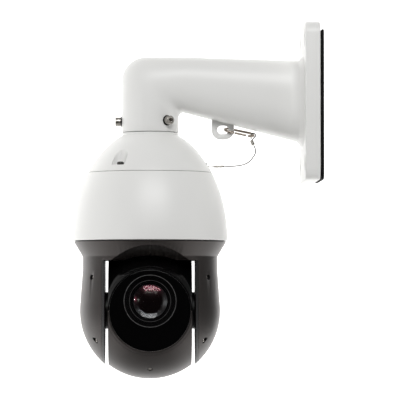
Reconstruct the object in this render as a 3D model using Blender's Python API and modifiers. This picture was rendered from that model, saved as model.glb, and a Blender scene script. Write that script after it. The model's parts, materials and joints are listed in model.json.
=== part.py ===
"""Pan-tilt-zoom dome camera hanging from a cast wall arm.

X = 0 is the wall face and +X points into the wall, -Y is the side that the camera looks to, and
Z = 0 is the middle of the arm's cable duct, a little above the middle of the wall plate. Lengths
are in metres.
"""
import math

import bmesh
import bpy
from mathutils import Matrix, Vector

OBJECT_NAME = "ptz_camera"
GAP = 0.0004                    # clearance between pieces that touch
PAN_X = -0.177                  # pan axis: vertical, through the neck
TILT_Z = -0.216                 # tilt axis: parallel to X, through the pan axis
LENS_Z = TILT_Z + 0.0098        # optical axis of the zoom lens
FINE, MEDIUM, COARSE = 36, 20, 10   # sides of large, middling and small round pieces

# Wall plate, arm and neck
PLATE_Z = -0.0022               # middle of the plate: a little below the middle of the arm's root
PLATE_HALF_Y, PLATE_HALF_Z = 0.060, 0.0807
PLATE_FRONT, PLATE_BACK = -0.0192, -0.004
PLATE_CORNER = 0.012
PLATE_SKIN, PLATE_RIM, BOLT_BOSS_R = 0.0045, 0.004, 0.0097
BOLT_Y, BOLT_Z, BOLT_HOLE_R = 0.047, 0.064, 0.0045
GASKET_FRONT = PLATE_BACK + 0.0003
GASKET_Z = -0.0055              # the loose gasket hangs a little lower than the plate
GASKET_HALF_Y, GASKET_HALF_Z = 0.055, 0.0775
GASKET_HOLE_Y, GASKET_HOLE_Z = 0.026, 0.030
NECK_R = 0.0294
NECK_BOTTOM = -0.0321
CAST_WALL = 0.003
ELBOW_X, ELBOW_Z, ELBOW_INNER = -0.142, -0.0171, 0.0056
ELBOW_TOP, ELBOW_OUTER_R = 0.0458, 0.025
ARM_TOP_AT_PLATE = 0.0418
ARM_BOTTOM_SLOPE = 0.2549
ARM_HALF_DEPTH_AT_PLATE = 0.037
PLATE_FILLET = 0.005

# Lug, snap hook and rope
LUG_HALF_Y = 0.003
LUG_NEAR_X, LUG_FAR_X, LUG_ROUND_Z, LUG_R = -0.0902, -0.1133, -0.0298, 0.0095
LUG_EYE = (-0.1014, -0.0293)
LUG_EYE_R, LUG_EYE_STRETCH = 0.0044, 0.0015
HOOK_WIRE_R = 0.00125
HOOK_HALF_WIDTH = 0.0054
HOOK_TILT = math.radians(20)    # how far the hook leans out of the level
GATE_BACK, GATE_NOSE = 0.002, 0.0052    # from the centres of the hook's two bends
HOOK_NEAR = Vector((-0.0996, 0.0, -0.0288))
HOOK_FAR = Vector((-0.0701, 0.0, -0.0349))
ROPE_R = 0.0006
FERRULE_TOP, FERRULE_BOTTOM = Vector((-0.0722, 0, -0.0398)), Vector((-0.0700, 0, -0.0451))
ROPE_ROUTE = [(-0.0697, -0.0454), (-0.0684, -0.0482), (-0.0680, -0.0518), (-0.0686, -0.0546),
              (-0.0703, -0.0573), (-0.0727, -0.0605), (-0.0768, -0.0638), (-0.0818, -0.0656),
              (-0.0870, -0.0665), (-0.0930, -0.0670), (-0.0996, -0.0671)]

# Cap and housing: half of an upright ellipse, turned
DOME_R, DOME_HEIGHT, DOME_CENTRE_Z = 0.080, 0.116, -0.1433
CAP_TOP, CAP_COLLAR_R, CAP_BORE_R = -0.0326, 0.0290, 0.0263
CAP_CEILING = -0.041
CAP_BOTTOM, HOUSING_TOP, HOUSING_RIM = -0.0735, -0.0744, -0.1440
CAP_WALL, HOUSING_WALL = 0.003, 0.0025
SCREW_CIRCLE, POCKET_CIRCLE, POCKET_R, POCKET_FLOOR = 0.0555, 0.057, 0.008, -0.0676
POCKET_BEARINGS = {"front": -33.0, "right": 87.0, "rear": 207.0}
NECK_SCREW_BEARINGS = {"left": (-90.0, -0.0209), "front": (36.0, -0.0208), "rear": (150.0, -0.0195)}

# Drive train inside the housing
CHASSIS_TOP, CHASSIS_BOTTOM = -0.100, -0.103
HUB_R, HUB_BORE_R = 0.020, 0.014
GEAR_MODULE, PAN_GEAR_TEETH, PAN_PINION_TEETH = 0.002, 36, 9
PINION_DISTANCE = GEAR_MODULE * (PAN_GEAR_TEETH + PAN_PINION_TEETH) / 2
GEAR_TOP, GEAR_BOTTOM = -0.116, -0.122

# Yoke: chin cone, cheeks and a ball round the tilt centre
CHIN_TOP, CHIN_TOP_R = -0.1447, 0.0789
WAIST_Z, WAIST_R, WAIST_END_Z = -0.1605, 0.0695, -0.174
CHEEK_Z, YOKE_BALL_R = -0.207, 0.0724
YOKE_WALL = 0.0025
ARM_INNER_X, ARM_PLATE_T = 0.0465, 0.0025
SLOT_TOP = -0.1646
CEILING_R = 0.0725
ARCH_R, ARCH_SLOPE = 0.100, math.radians(18.5)
ARCH_FRONT = Vector((PAN_X, -0.074, -0.1497))
BLADE_OUTER_X = 0.0516
ARM_SCREW_BEARING, ARM_SCREW_HEIGHTS = math.radians(58.0), {"upper": -0.182, "lower": -0.246}

# Head
HEAD_R, HEAD_HALF_X, HEAD_WALL = 0.0703, 0.0427, 0.0025
WINDOW_Y = -0.0558
BEZEL_BACK_Y, SHELL_FRONT_Y = -0.0542, -0.0538
WINDOW_R = 0.0412
AXLE_R, AXLE_BOSS_R, BEARING_R = 0.009, 0.019, 0.0126
PULLEY_NEAR_X, PULLEY_FAR_X, PULLEY_R, MOTOR_PULLEY_R = 0.053, 0.0572, 0.022, 0.0055
TILT_MOTOR_Z = TILT_Z + 0.036
BELT_T = 0.0012


class Stage:
    """Collections, empties and materials that the pieces share."""

    parts = None
    cutters = None
    pivots = {}
    finishes = {}


def new_collection(name):
    collection = bpy.data.collections.new(name)
    bpy.context.scene.collection.children.link(collection)
    return collection


def clear_scene():
    for obj in list(bpy.data.objects):
        bpy.data.objects.remove(obj, do_unlink=True)
    Stage.parts = new_collection(OBJECT_NAME)
    Stage.cutters = new_collection("cutters")


def new_pivot(name, location):
    """An empty on a joint's axis, the parent of everything that turns there."""
    pivot = bpy.data.objects.new(name, None)
    pivot.location = location
    pivot.empty_display_size = 0.01
    Stage.parts.objects.link(pivot)
    Stage.pivots[name] = pivot


def finish(name, colour, roughness, metallic=0.0):
    material = bpy.data.materials.new(name)
    material.use_nodes = True
    shader = material.node_tree.nodes["Principled BSDF"]
    shader.inputs["Base Color"].default_value = (*colour, 1.0)
    shader.inputs["Roughness"].default_value = roughness
    shader.inputs["Metallic"].default_value = metallic
    Stage.finishes[name] = material


def piece(obj, finish_name, pivot=None):
    """Turn a shape into one of the object's pieces."""
    Stage.cutters.objects.unlink(obj)
    Stage.parts.objects.link(obj)
    obj.hide_render = False
    obj.display_type = "TEXTURED"
    obj.data.materials.clear()
    obj.data.materials.append(Stage.finishes[finish_name])
    if obj.type == "MESH" and obj.data.polygons:
        obj.data.shade_smooth()
        obj.data.set_sharp_from_angle(angle=math.radians(35))
    if pivot:
        parent = Stage.pivots[pivot]
        obj.parent = parent
        obj.matrix_parent_inverse = Matrix.Translation(-parent.location)
    return obj


def shape(name, data):
    """A new object, kept as a guide or a cutter until piece() takes it."""
    obj = bpy.data.objects.new(name, data)
    Stage.cutters.objects.link(obj)
    obj.hide_render = True
    obj.display_type = "WIRE"
    return obj


def mesh_from(name, bm):
    bmesh.ops.recalc_face_normals(bm, faces=bm.faces)
    mesh = bpy.data.meshes.new(name)
    bm.to_mesh(mesh)
    bm.free()
    return mesh


def box(name, low, high, bevel=0.0, segments=2):
    """A box between two corners, with rounded edges if asked."""
    low, high = Vector(low), Vector(high)
    bm = bmesh.new()
    bmesh.ops.create_cube(bm, size=1.0)
    bmesh.ops.scale(bm, vec=high - low, verts=bm.verts)
    bmesh.ops.translate(bm, vec=(low + high) / 2, verts=bm.verts)
    obj = shape(name, mesh_from(name, bm))
    if bevel:
        rounding = obj.modifiers.new("rounding", "BEVEL")
        rounding.width = bevel
        rounding.segments = segments
    return obj


def rod(name, start, end, radius, sides=COARSE, end_radius=None):
    """A cylinder or cone between two points."""
    start, end = Vector(start), Vector(end)
    along = end - start
    turn = along.to_track_quat("Z", "Y").to_matrix().to_4x4()
    bm = bmesh.new()
    bmesh.ops.create_cone(bm, cap_ends=True, segments=sides, radius1=radius,
                          radius2=radius if end_radius is None else end_radius,
                          depth=along.length,
                          matrix=Matrix.Translation((start + end) / 2) @ turn)
    return shape(name, mesh_from(name, bm))


def turned(name, outline, centre, axis="Z", sides=FINE, ring=False):
    """Turn an outline of (radius, height) points, outer side from top to bottom.

    The height runs along +Z, along -Y (the look direction) or along +X. A ring's outline is
    closed; any other outline starts and ends on the axis.
    """
    mesh = bpy.data.meshes.new(name)
    count = len(outline)
    edges = [(i, i + 1) for i in range(count - 1)] + ([(count - 1, 0)] if ring else [])
    mesh.from_pydata([(radius, 0.0, height) for radius, height in outline], edges, [])
    obj = shape(name, mesh)
    obj.location = centre
    obj.rotation_euler = {"Z": (0, 0, 0), "Y": (math.pi / 2, 0, 0), "X": (0, math.pi / 2, 0)}[axis]
    screw = obj.modifiers.new("turning", "SCREW")
    screw.steps = screw.render_steps = sides
    screw.use_merge_vertices = True
    screw.merge_threshold = 0.00001
    screw.use_smooth_shade = True
    return obj


def flat_outline(name, loops, half_thickness):
    """A plate in local XY from one outer loop and any holes, as a closed mesh."""
    curve = bpy.data.curves.new(name, "CURVE")
    curve.dimensions = "2D"
    curve.fill_mode = "BOTH"
    curve.extrude = half_thickness
    for loop in loops:
        spline = curve.splines.new("POLY")
        spline.points.add(len(loop) - 1)
        for point, (x, y) in zip(spline.points, loop):
            point.co = (x, y, 0.0, 1.0)
        spline.use_cyclic_u = True
    return as_mesh(shape(name, curve))


def as_mesh(curve_object):
    """Replace a curve by its welded mesh."""
    bpy.context.view_layer.update()
    evaluated = curve_object.evaluated_get(bpy.context.evaluated_depsgraph_get())
    mesh = bpy.data.meshes.new_from_object(evaluated)
    name, place = curve_object.name, curve_object.matrix_world.copy()
    bpy.data.objects.remove(curve_object)
    bm = bmesh.new()
    bm.from_mesh(mesh)
    bmesh.ops.remove_doubles(bm, verts=bm.verts, dist=0.00001)
    bmesh.ops.recalc_face_normals(bm, faces=bm.faces)
    bm.to_mesh(mesh)
    bm.free()
    obj = shape(name, mesh)
    obj.matrix_world = place
    return obj


def wire(name, points, radius):
    """A round wire along a smooth route of 3-D points."""
    curve = bpy.data.curves.new(name, "CURVE")
    curve.dimensions = "3D"
    curve.bevel_depth = radius
    curve.bevel_resolution = 2
    curve.use_fill_caps = True
    spline = curve.splines.new("POLY")
    spline.points.add(len(points) - 1)
    for spline_point, point in zip(spline.points, points):
        spline_point.co = (*point, 1.0)
    return shape(name, curve)


def circle_points(radius, sides, centre=(0.0, 0.0), first=0.0):
    step = 2 * math.pi / sides
    return [(centre[0] + radius * math.cos(first + i * step),
             centre[1] + radius * math.sin(first + i * step)) for i in range(sides)]


def arc_points(radius, first, last, steps, centre=(0.0, 0.0)):
    return [(centre[0] + radius * math.cos(first + (last - first) * i / steps),
             centre[1] + radius * math.sin(first + (last - first) * i / steps))
            for i in range(steps + 1)]


def boolean(target, operation, tools):
    for tool in tools:
        step = target.modifiers.new(tool.name, "BOOLEAN")
        step.operation = operation
        step.object = tool
        step.solver = "EXACT"
    return target


def cut(target, *tools):
    return boolean(target, "DIFFERENCE", tools)


def join(target, *tools):
    return boolean(target, "UNION", tools)


def keep(target, *tools):
    return boolean(target, "INTERSECT", tools)


def bearing_point(radius, degrees, height):
    """A point round the pan axis; bearing 0 is the look direction and +90 is towards the wall."""
    angle = math.radians(degrees)
    return Vector((PAN_X + radius * math.sin(angle), -radius * math.cos(angle), height))


def smooth_route(points, spacing):
    """Points at an even spacing along a Catmull-Rom curve through the given points."""
    ends = [points[0] * 2 - points[1], *points, points[-1] * 2 - points[-2]]
    fine = []
    for a, b, c, d in zip(ends, ends[1:], ends[2:], ends[3:]):
        for i in range(20):
            t = i / 20
            fine.append(0.5 * (2 * b + (c - a) * t + (2 * a - 5 * b + 4 * c - d) * t * t
                               + (3 * b - a - 3 * c + d) * t ** 3))
    fine.append(points[-1])
    length = sum((q - p).length for p, q in zip(fine, fine[1:]))
    count = round(length / spacing)
    route, walked, target = [fine[0]], 0.0, length / count
    for p, q in zip(fine, fine[1:]):
        walked += (q - p).length
        if walked >= target * len(route) and len(route) < count:
            route.append(q)
    return route + [fine[-1]]


# ---------------------------------------------------------------- wall arm

def arm_bottom(x):
    return ELBOW_Z + ELBOW_INNER - ARM_BOTTOM_SLOPE * (x - ELBOW_X)


def arm_top(x):
    share = (x - ELBOW_X) / (PLATE_FRONT - ELBOW_X)
    return ELBOW_TOP + (ARM_TOP_AT_PLATE - ELBOW_TOP) * max(share, 0.0)


def elbow_reach(angle):
    """Distance from the elbow's pivot to the outer outline, at an angle above the horizontal."""
    to_side = (ELBOW_X - (PAN_X - NECK_R)) / max(math.cos(angle), 1e-6)
    to_top = (ELBOW_TOP - ELBOW_Z) / max(math.sin(angle), 1e-6)
    corner = Vector((PAN_X - NECK_R + ELBOW_OUTER_R - ELBOW_X,
                     ELBOW_TOP - ELBOW_OUTER_R - ELBOW_Z))
    ray = Vector((-math.cos(angle), math.sin(angle)))
    if to_side * math.sin(angle) <= corner.y:
        return to_side
    if -to_top * math.cos(angle) >= corner.x:
        return to_top
    along = ray.dot(corner)
    return along + math.sqrt(along * along - corner.length_squared + ELBOW_OUTER_R ** 2)


def section(inner, outer, half_depth, power, sides):
    """A rounded section between two points of the XZ plane, as deep in Y as half_depth."""
    middle, reach = (inner + outer) / 2, (outer - inner) / 2
    ring = []
    for i in range(sides):
        angle = 2 * math.pi * i / sides
        c, s = math.cos(angle), math.sin(angle)
        across = math.copysign(abs(c) ** (2 / power), c)
        ring.append(middle + reach * across
                    + Vector((0, half_depth * math.copysign(abs(s) ** (2 / power), s), 0)))
    return ring


def arm_loft(name, inset, sides, overrun):
    """The neck, elbow and arm as one loft; an inset makes the duct inside it."""
    rings = []
    for z in (NECK_BOTTOM - overrun, ELBOW_Z):
        rings.append(section(Vector((PAN_X + NECK_R - inset, 0, z)),
                             Vector((PAN_X - NECK_R + inset, 0, z)), NECK_R - inset, 2.0, sides))
    bend_steps = 7
    pivot = Vector((ELBOW_X, 0, ELBOW_Z))
    for i in range(1, bend_steps + 1):
        angle = math.pi / 2 * i / bend_steps
        ray = Vector((-math.cos(angle), 0, math.sin(angle)))
        rings.append(section(pivot + ray * (ELBOW_INNER + inset),
                             pivot + ray * (elbow_reach(angle) - inset),
                             NECK_R - inset, 2.0 + 0.5 * i / bend_steps, sides))
    flare = 0.0 if inset else PLATE_FILLET
    stops = [(ELBOW_X * 0.5 + PLATE_FRONT * 0.5, 0.0), (PLATE_FRONT - PLATE_FILLET, 0.0),
             (PLATE_FRONT - 0.3 * PLATE_FILLET, 0.35 * flare), (PLATE_FRONT + 0.001, flare)]
    if inset:
        stops = stops[:2] + [(overrun, 0.0)]
    for x, growth in stops:
        share = min((x - ELBOW_X) / (PLATE_FRONT - ELBOW_X), 1.0)
        depth = NECK_R + (ARM_HALF_DEPTH_AT_PLATE - NECK_R) * share
        station = min(x, PLATE_FRONT)
        rings.append(section(Vector((x, 0, arm_bottom(station) + inset - growth)),
                             Vector((x, 0, arm_top(station) - inset + growth)),
                             depth - inset + growth, 2.5 + 0.5 * share, sides))
    bm = bmesh.new()
    rows = [[bm.verts.new(point) for point in ring] for ring in rings]
    for lower, upper in zip(rows, rows[1:]):
        for i in range(sides):
            j = (i + 1) % sides
            bm.faces.new((lower[i], lower[j], upper[j], upper[i]))
    bm.faces.new(rows[0])
    bm.faces.new(rows[-1])
    return shape(name, mesh_from(name, bm))


def rope_lug():
    """A D-shaped eye in the XZ plane, cast under the arm."""
    shoulder, root = LUG_ROUND_Z + 0.0008, -0.014
    outline = ([(LUG_FAR_X, root), (LUG_FAR_X, shoulder)]
               + arc_points(LUG_R, math.pi, 1.5 * math.pi, 4, (LUG_FAR_X + LUG_R, LUG_ROUND_Z))
               + arc_points(LUG_R, 1.5 * math.pi, 2 * math.pi, 4, (LUG_NEAR_X - LUG_R, LUG_ROUND_Z))
               + [(LUG_NEAR_X, shoulder), (LUG_NEAR_X, root)])
    hole = [(x + math.copysign(LUG_EYE_STRETCH, x - LUG_EYE[0]), z)
            for x, z in circle_points(LUG_EYE_R, 12, LUG_EYE)]
    lug = flat_outline("rope_lug", [outline, hole], LUG_HALF_Y)
    lug.rotation_euler = (math.pi / 2, 0, 0)
    return lug


def plate_slab(name, inset, front, back):
    """A slab with the wall plate's rounded outline, inset all round."""
    outline = []
    for side_y, side_z, turns in [(1, 1, 0.0), (-1, 1, 0.5), (-1, -1, 1.0), (1, -1, 1.5)]:
        centre = (side_y * (PLATE_HALF_Y - PLATE_CORNER), side_z * (PLATE_HALF_Z - PLATE_CORNER))
        outline += arc_points(PLATE_CORNER - inset, turns * math.pi, (turns + 0.5) * math.pi, 4,
                              centre)
    slab = flat_outline(name, [outline], (back - front) / 2)
    slab.matrix_world = yz_plane((back + front) / 2, PLATE_Z)
    return slab


def bolt_centres():
    return [(y * BOLT_Y, PLATE_Z + z * BOLT_Z) for y in (-1, 1) for z in (-1, 1)]


def plate_pocket():
    """The hollow behind the plate's front skin, which leaves a rim and a boss round each bolt."""
    pocket = plate_slab("plate_pocket", PLATE_RIM, PLATE_FRONT + PLATE_SKIN, PLATE_BACK + 0.002)
    for i, centre in enumerate(bolt_centres()):
        cut(pocket, rod(f"bolt_boss_{i}", (PLATE_FRONT, *centre), (0.01, *centre), BOLT_BOSS_R))
    return pocket


def wall_plate():
    plate = plate_slab("wall_plate", 0.0, PLATE_FRONT, PLATE_BACK)
    edge = plate.modifiers.new("edge", "BEVEL")
    edge.width = 0.0015
    edge.segments = 2
    edge.limit_method = "ANGLE"
    edge.angle_limit = math.radians(60)
    return plate


def yz_plane(x, height=0.0):
    """Takes local X, Y and Z to world Y, Z and X, at a height."""
    return Matrix(((0, 0, 1, x), (1, 0, 0, 0), (0, 1, 0, height), (0, 0, 0, 1)))


def build_wall_arm():
    arm = arm_loft("bracket_arm", 0.0, 32, 0.0)
    join(arm, wall_plate(), rope_lug())
    cut(arm, arm_loft("cable_duct", CAST_WALL, 20, 0.005), plate_pocket())
    for i, centre in enumerate(bolt_centres()):
        cut(arm, rod(f"bolt_hole_{i}", (-0.03, *centre), (0.01, *centre), BOLT_HOLE_R))
    for name, (bearing, height) in NECK_SCREW_BEARINGS.items():
        cut(arm, rod(f"neck_hole_{name}", bearing_point(0.020, bearing, height),
                     bearing_point(0.040, bearing, height), 0.0029))
    piece(arm, "white_paint")

    gasket_holes = [circle_points(BOLT_HOLE_R, COARSE, (y, z - GASKET_Z))
                    for y, z in bolt_centres()]
    window_low, window_high = -GASKET_HOLE_Z - GASKET_Z, GASKET_HOLE_Z - GASKET_Z
    window = [(GASKET_HOLE_Y, window_high), (-GASKET_HOLE_Y, window_high),
              (-GASKET_HOLE_Y, window_low), (GASKET_HOLE_Y, window_low)]
    rim = [(GASKET_HALF_Y, GASKET_HALF_Z), (-GASKET_HALF_Y, GASKET_HALF_Z),
           (-GASKET_HALF_Y, -GASKET_HALF_Z), (GASKET_HALF_Y, -GASKET_HALF_Z)]
    gasket = flat_outline("wall_gasket", [rim, window, *gasket_holes], -GASKET_FRONT / 2)
    gasket.matrix_world = yz_plane(GASKET_FRONT / 2, GASKET_Z)
    piece(gasket, "rubber")

    for name, (bearing, height) in NECK_SCREW_BEARINGS.items():
        tip, seat, crown = (bearing_point(r, bearing, height) for r in (0.0235, 0.0303, 0.0360))
        screw = rod(f"neck_screw_{name}", seat, crown, 0.0045, 16)
        join(screw, rod(f"neck_shank_{name}", tip, seat + (crown - seat) * 0.2, 0.0025))
        cut(screw, rod(f"neck_socket_{name}", seat + (crown - seat) * 0.5,
                       crown + (crown - seat) * 0.2, 0.0023, 6))
        piece(screw, "steel")


def hook_frame():
    """Along the hook, across it, and its gate's hinge."""
    along = (HOOK_FAR - HOOK_NEAR).normalized()
    side = (Vector((0, math.cos(HOOK_TILT), 0))
            + Vector((-along.z, 0, along.x)) * math.sin(HOOK_TILT))
    hinge = HOOK_FAR - along * (HOOK_HALF_WIDTH + GATE_BACK) - side * HOOK_HALF_WIDTH
    return along, side, hinge


def build_rope():
    along, side, gate_hinge = hook_frame()
    end_r = HOOK_HALF_WIDTH
    left, right = HOOK_NEAR + along * end_r, HOOK_FAR - along * end_r
    gate_tip = left + along * GATE_NOSE - side * end_r

    def bend(centre, first, last, steps):
        return [centre + along * (end_r * math.cos(first + (last - first) * i / steps))
                + side * (end_r * math.sin(first + (last - first) * i / steps))
                for i in range(steps + 1)]

    loop = ([gate_hinge + along * 0.0016] + bend(right, -math.pi / 2, math.pi / 2, 8)
            + bend(left, math.pi / 2, 1.5 * math.pi, 8) + [gate_tip - along * 0.0004])
    piece(wire("snap_hook", loop, HOOK_WIRE_R), "bright_steel")
    gate = rod("hook_gate", gate_hinge, gate_tip, HOOK_WIRE_R * 0.9, 10)
    piece(gate, "bright_steel", "gate_pivot")

    piece(rod("rope_ferrule_hook", FERRULE_TOP, FERRULE_BOTTOM, 0.0019, 10), "steel")
    reach = (HOOK_FAR - FERRULE_TOP).normalized()
    across = Vector((reach.z, 0, -reach.x))
    eye_r = HOOK_WIRE_R + ROPE_R + 0.0006
    foot = FERRULE_TOP + reach * 0.0024
    first = math.atan2(-across.z, -across.x)
    eye = [foot - across * 0.0009]
    eye += [HOOK_FAR + Vector((eye_r * math.cos(first - math.pi * i / 8), 0,
                               eye_r * math.sin(first - math.pi * i / 8))) for i in range(9)]
    eye += [foot + across * 0.0009]
    piece(wire("rope_eye", eye, ROPE_R), "bright_steel")

    route = smooth_route([Vector((x, 0, z)) for x, z in ROPE_ROUTE], 0.003)
    piece(wire("safety_rope", route, ROPE_R), "bright_steel")

    bearing = POCKET_BEARINGS["right"]
    hole = bearing_point(SCREW_CIRCLE, bearing, POCKET_FLOOR)
    terminal = rod("rope_ferrule_dome", hole + Vector((0, 0, 0.0003)),
                   hole + Vector((0, 0, 0.0011)), 0.0042, 16)
    tongue = box("terminal_tongue", (hole.x + 0.003, -0.0030, hole.z + 0.0003),
                 (-0.1100, 0.0010, hole.z + 0.0011))
    sleeve = rod("terminal_sleeve", (-0.1114, 0, -0.0673), (-0.1000, 0, -0.0671), 0.0016, 10)
    join(terminal, tongue, sleeve)
    cut(terminal, rod("terminal_hole", hole - Vector((0, 0, 0.002)),
                      hole + Vector((0, 0, 0.003)), 0.0024))
    piece(terminal, "steel")


# ---------------------------------------------------------------- cap and housing

def dome_radius(height, inset=0.0):
    share = (height - DOME_CENTRE_Z) / (DOME_HEIGHT - inset)
    return (DOME_R - inset) * math.sqrt(max(1 - share * share, 0.0))


def dome_curve(top, bottom, steps, inset=0.0):
    """Points down the housing's outline, closer together where it curves."""
    ends = [math.acos(min((z - DOME_CENTRE_Z) / (DOME_HEIGHT - inset), 1.0)) for z in (top, bottom)]
    angles = [ends[0] + (ends[1] - ends[0]) * i / steps for i in range(steps + 1)]
    return [((DOME_R - inset) * math.sin(a), DOME_CENTRE_Z + (DOME_HEIGHT - inset) * math.cos(a))
            for a in angles]


def build_cap():
    on_axis = (PAN_X, 0, 0)
    shoulder = DOME_CENTRE_Z + DOME_HEIGHT * math.sqrt(1 - (CAP_COLLAR_R / DOME_R) ** 2)
    outside = ([(0, CAP_TOP), (CAP_COLLAR_R - 0.0006, CAP_TOP),
                (CAP_COLLAR_R, CAP_TOP - 0.0006)]
               + dome_curve(shoulder, CAP_BOTTOM, 7) + [(0, CAP_BOTTOM)])
    cap = turned("top_cap", outside, on_axis)
    inside = ([(0, CAP_CEILING)] + dome_curve(CAP_CEILING, CAP_BOTTOM, 4, CAP_WALL)
              + [(dome_radius(CAP_BOTTOM, CAP_WALL), CAP_BOTTOM - 0.01), (0, CAP_BOTTOM - 0.01)])
    hollow = turned("cap_hollow", inside, on_axis, sides=24)
    for name, bearing in POCKET_BEARINGS.items():
        cut(hollow, rod(f"pocket_boss_{name}", bearing_point(POCKET_CIRCLE, bearing, -0.09),
                        bearing_point(POCKET_CIRCLE, bearing, -0.04), POCKET_R + CAP_WALL, 16))
    cut(cap, hollow, rod("cap_bore", (PAN_X, 0, CAP_TOP + 0.01), (PAN_X, 0, CAP_CEILING - 0.003),
                         CAP_BORE_R, 28))
    for name, bearing in POCKET_BEARINGS.items():
        cut(cap, rod(f"pocket_{name}", bearing_point(POCKET_CIRCLE, bearing, POCKET_FLOOR),
                     bearing_point(POCKET_CIRCLE, bearing, -0.03), POCKET_R, 16),
            rod(f"cap_hole_{name}", bearing_point(SCREW_CIRCLE, bearing, -0.09),
                bearing_point(SCREW_CIRCLE, bearing, -0.06), 0.0024))
    piece(cap, "white_paint")

    seat_lift = {"front": 0.0003, "right": 0.0014, "rear": 0.0003}
    for name, bearing in POCKET_BEARINGS.items():
        seat = POCKET_FLOOR + seat_lift[name]
        head = rod(f"cap_screw_{name}", bearing_point(SCREW_CIRCLE, bearing, seat),
                   bearing_point(SCREW_CIRCLE, bearing, seat + 0.003), 0.0036, COARSE)
        join(head, rod(f"cap_shank_{name}", bearing_point(SCREW_CIRCLE, bearing, -0.0795),
                       bearing_point(SCREW_CIRCLE, bearing, seat + 0.001), 0.0019, 10))
        piece(head, "dark_steel")

    seal = [(0.0595, CAP_BOTTOM - 0.0003), (0.0630, CAP_BOTTOM - 0.0003),
            (0.0630, HOUSING_TOP + 0.0003), (0.0595, HOUSING_TOP + 0.0003)]
    piece(turned("cap_seal", seal, on_axis, sides=24, ring=True), "rubber")

    spigot = turned("mounting_spigot",
                    [(0.0259, 0.006), (0.0259, CAP_CEILING - GAP), (0.0305, CAP_CEILING - GAP),
                     (0.0305, -0.044), (0.0220, -0.044), (0.0220, 0.006)],
                    on_axis, sides=28, ring=True)
    for name, (bearing, height) in NECK_SCREW_BEARINGS.items():
        cut(spigot, rod(f"spigot_hole_{name}", bearing_point(0.015, bearing, height),
                        bearing_point(0.030, bearing, height), 0.0029))
    piece(spigot, "cast_grey")


def build_housing():
    on_axis = (PAN_X, 0, 0)
    flange_bottom = HOUSING_TOP - 0.004
    outline = (dome_curve(HOUSING_TOP, HOUSING_RIM + 0.001, 7)
               + [(DOME_R - 0.001, HOUSING_RIM), (DOME_R - HOUSING_WALL, HOUSING_RIM)]
               + dome_curve(flange_bottom, HOUSING_RIM + 0.001, 4, HOUSING_WALL)[::-1]
               + [(0.050, flange_bottom), (0.050, HOUSING_TOP)])
    housing = turned("dome_housing", outline, on_axis, ring=True)
    for name, bearing in POCKET_BEARINGS.items():
        cut(housing, rod(f"housing_hole_{name}", bearing_point(SCREW_CIRCLE, bearing, -0.09),
                         bearing_point(SCREW_CIRCLE, bearing, -0.07), 0.0023, 10))
    piece(housing, "white_paint")

    chassis = turned("chassis_plate", [(0.0210, CHASSIS_TOP), (0.0705, CHASSIS_TOP),
                                       (0.0705, CHASSIS_BOTTOM), (0.0210, CHASSIS_BOTTOM)],
                     on_axis, sides=24, ring=True)
    cut(chassis, rod("pinion_passage", (PAN_X, PINION_DISTANCE, -0.11),
                     (PAN_X, PINION_DISTANCE, -0.09), 0.0040))
    piece(chassis, "sheet_steel")
    piece(turned("pan_bearing", [(HUB_R + GAP, -0.104), (0.028, -0.104), (0.028, -0.111),
                                 (HUB_R + GAP, -0.111)], on_axis, sides=24, ring=True),
          "bright_steel")

    motor_seat = CHASSIS_TOP + GAP
    motor = rod("pan_motor", (PAN_X, PINION_DISTANCE, motor_seat),
                (PAN_X, PINION_DISTANCE, -0.080), 0.016, MEDIUM)
    join(motor, box("pan_motor_ears", (PAN_X - 0.022, PINION_DISTANCE - 0.006, motor_seat),
                    (PAN_X + 0.022, PINION_DISTANCE + 0.006, motor_seat + 0.002)))
    cut(motor, rod("pan_motor_bore", (PAN_X, PINION_DISTANCE, -0.12),
                   (PAN_X, PINION_DISTANCE, -0.092), 0.0032))
    piece(motor, "sheet_steel")

    board = box("power_board", (PAN_X - 0.040, -0.036, -0.0890), (PAN_X + 0.040, 0.024, -0.0874))
    join(board, box("transformer", (PAN_X - 0.034, -0.030, -0.088), (PAN_X - 0.012, -0.016, -0.0765)),
         box("terminal_block", (PAN_X + 0.014, -0.032, -0.088), (PAN_X + 0.034, -0.020, -0.079)),
         box("processor", (PAN_X + 0.017, -0.008, -0.088), (PAN_X + 0.033, 0.008, -0.0855)),
         rod("capacitor", (PAN_X - 0.028, 0.008, -0.088), (PAN_X - 0.028, 0.008, -0.078), 0.005))
    cut(board, rod("board_hole", (PAN_X, 0, -0.10), (PAN_X, 0, -0.07), 0.0130, MEDIUM))
    piece(board, "circuit_board")

    piece(turned("slip_ring_stator", [(0.0064, -0.083), (0.0120, -0.083), (0.0120, -0.0955),
                                      (0.0064, -0.0955)], on_axis, sides=MEDIUM, ring=True),
          "black_plastic")


# ---------------------------------------------------------------- turret

def gear_outline(teeth, pitch_radius, first):
    """Trapezoid teeth with generous backlash; the first tooth points along the first angle."""
    step = 2 * math.pi / teeth
    tip, root = pitch_radius + 0.9 * GEAR_MODULE, pitch_radius - 1.15 * GEAR_MODULE
    loop = []
    for i in range(teeth):
        for radius, shift in ((root, -0.25), (tip, -0.11), (tip, 0.11), (root, 0.25)):
            angle = first + (i + shift) * step
            loop.append((radius * math.cos(angle), radius * math.sin(angle)))
    return loop


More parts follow.
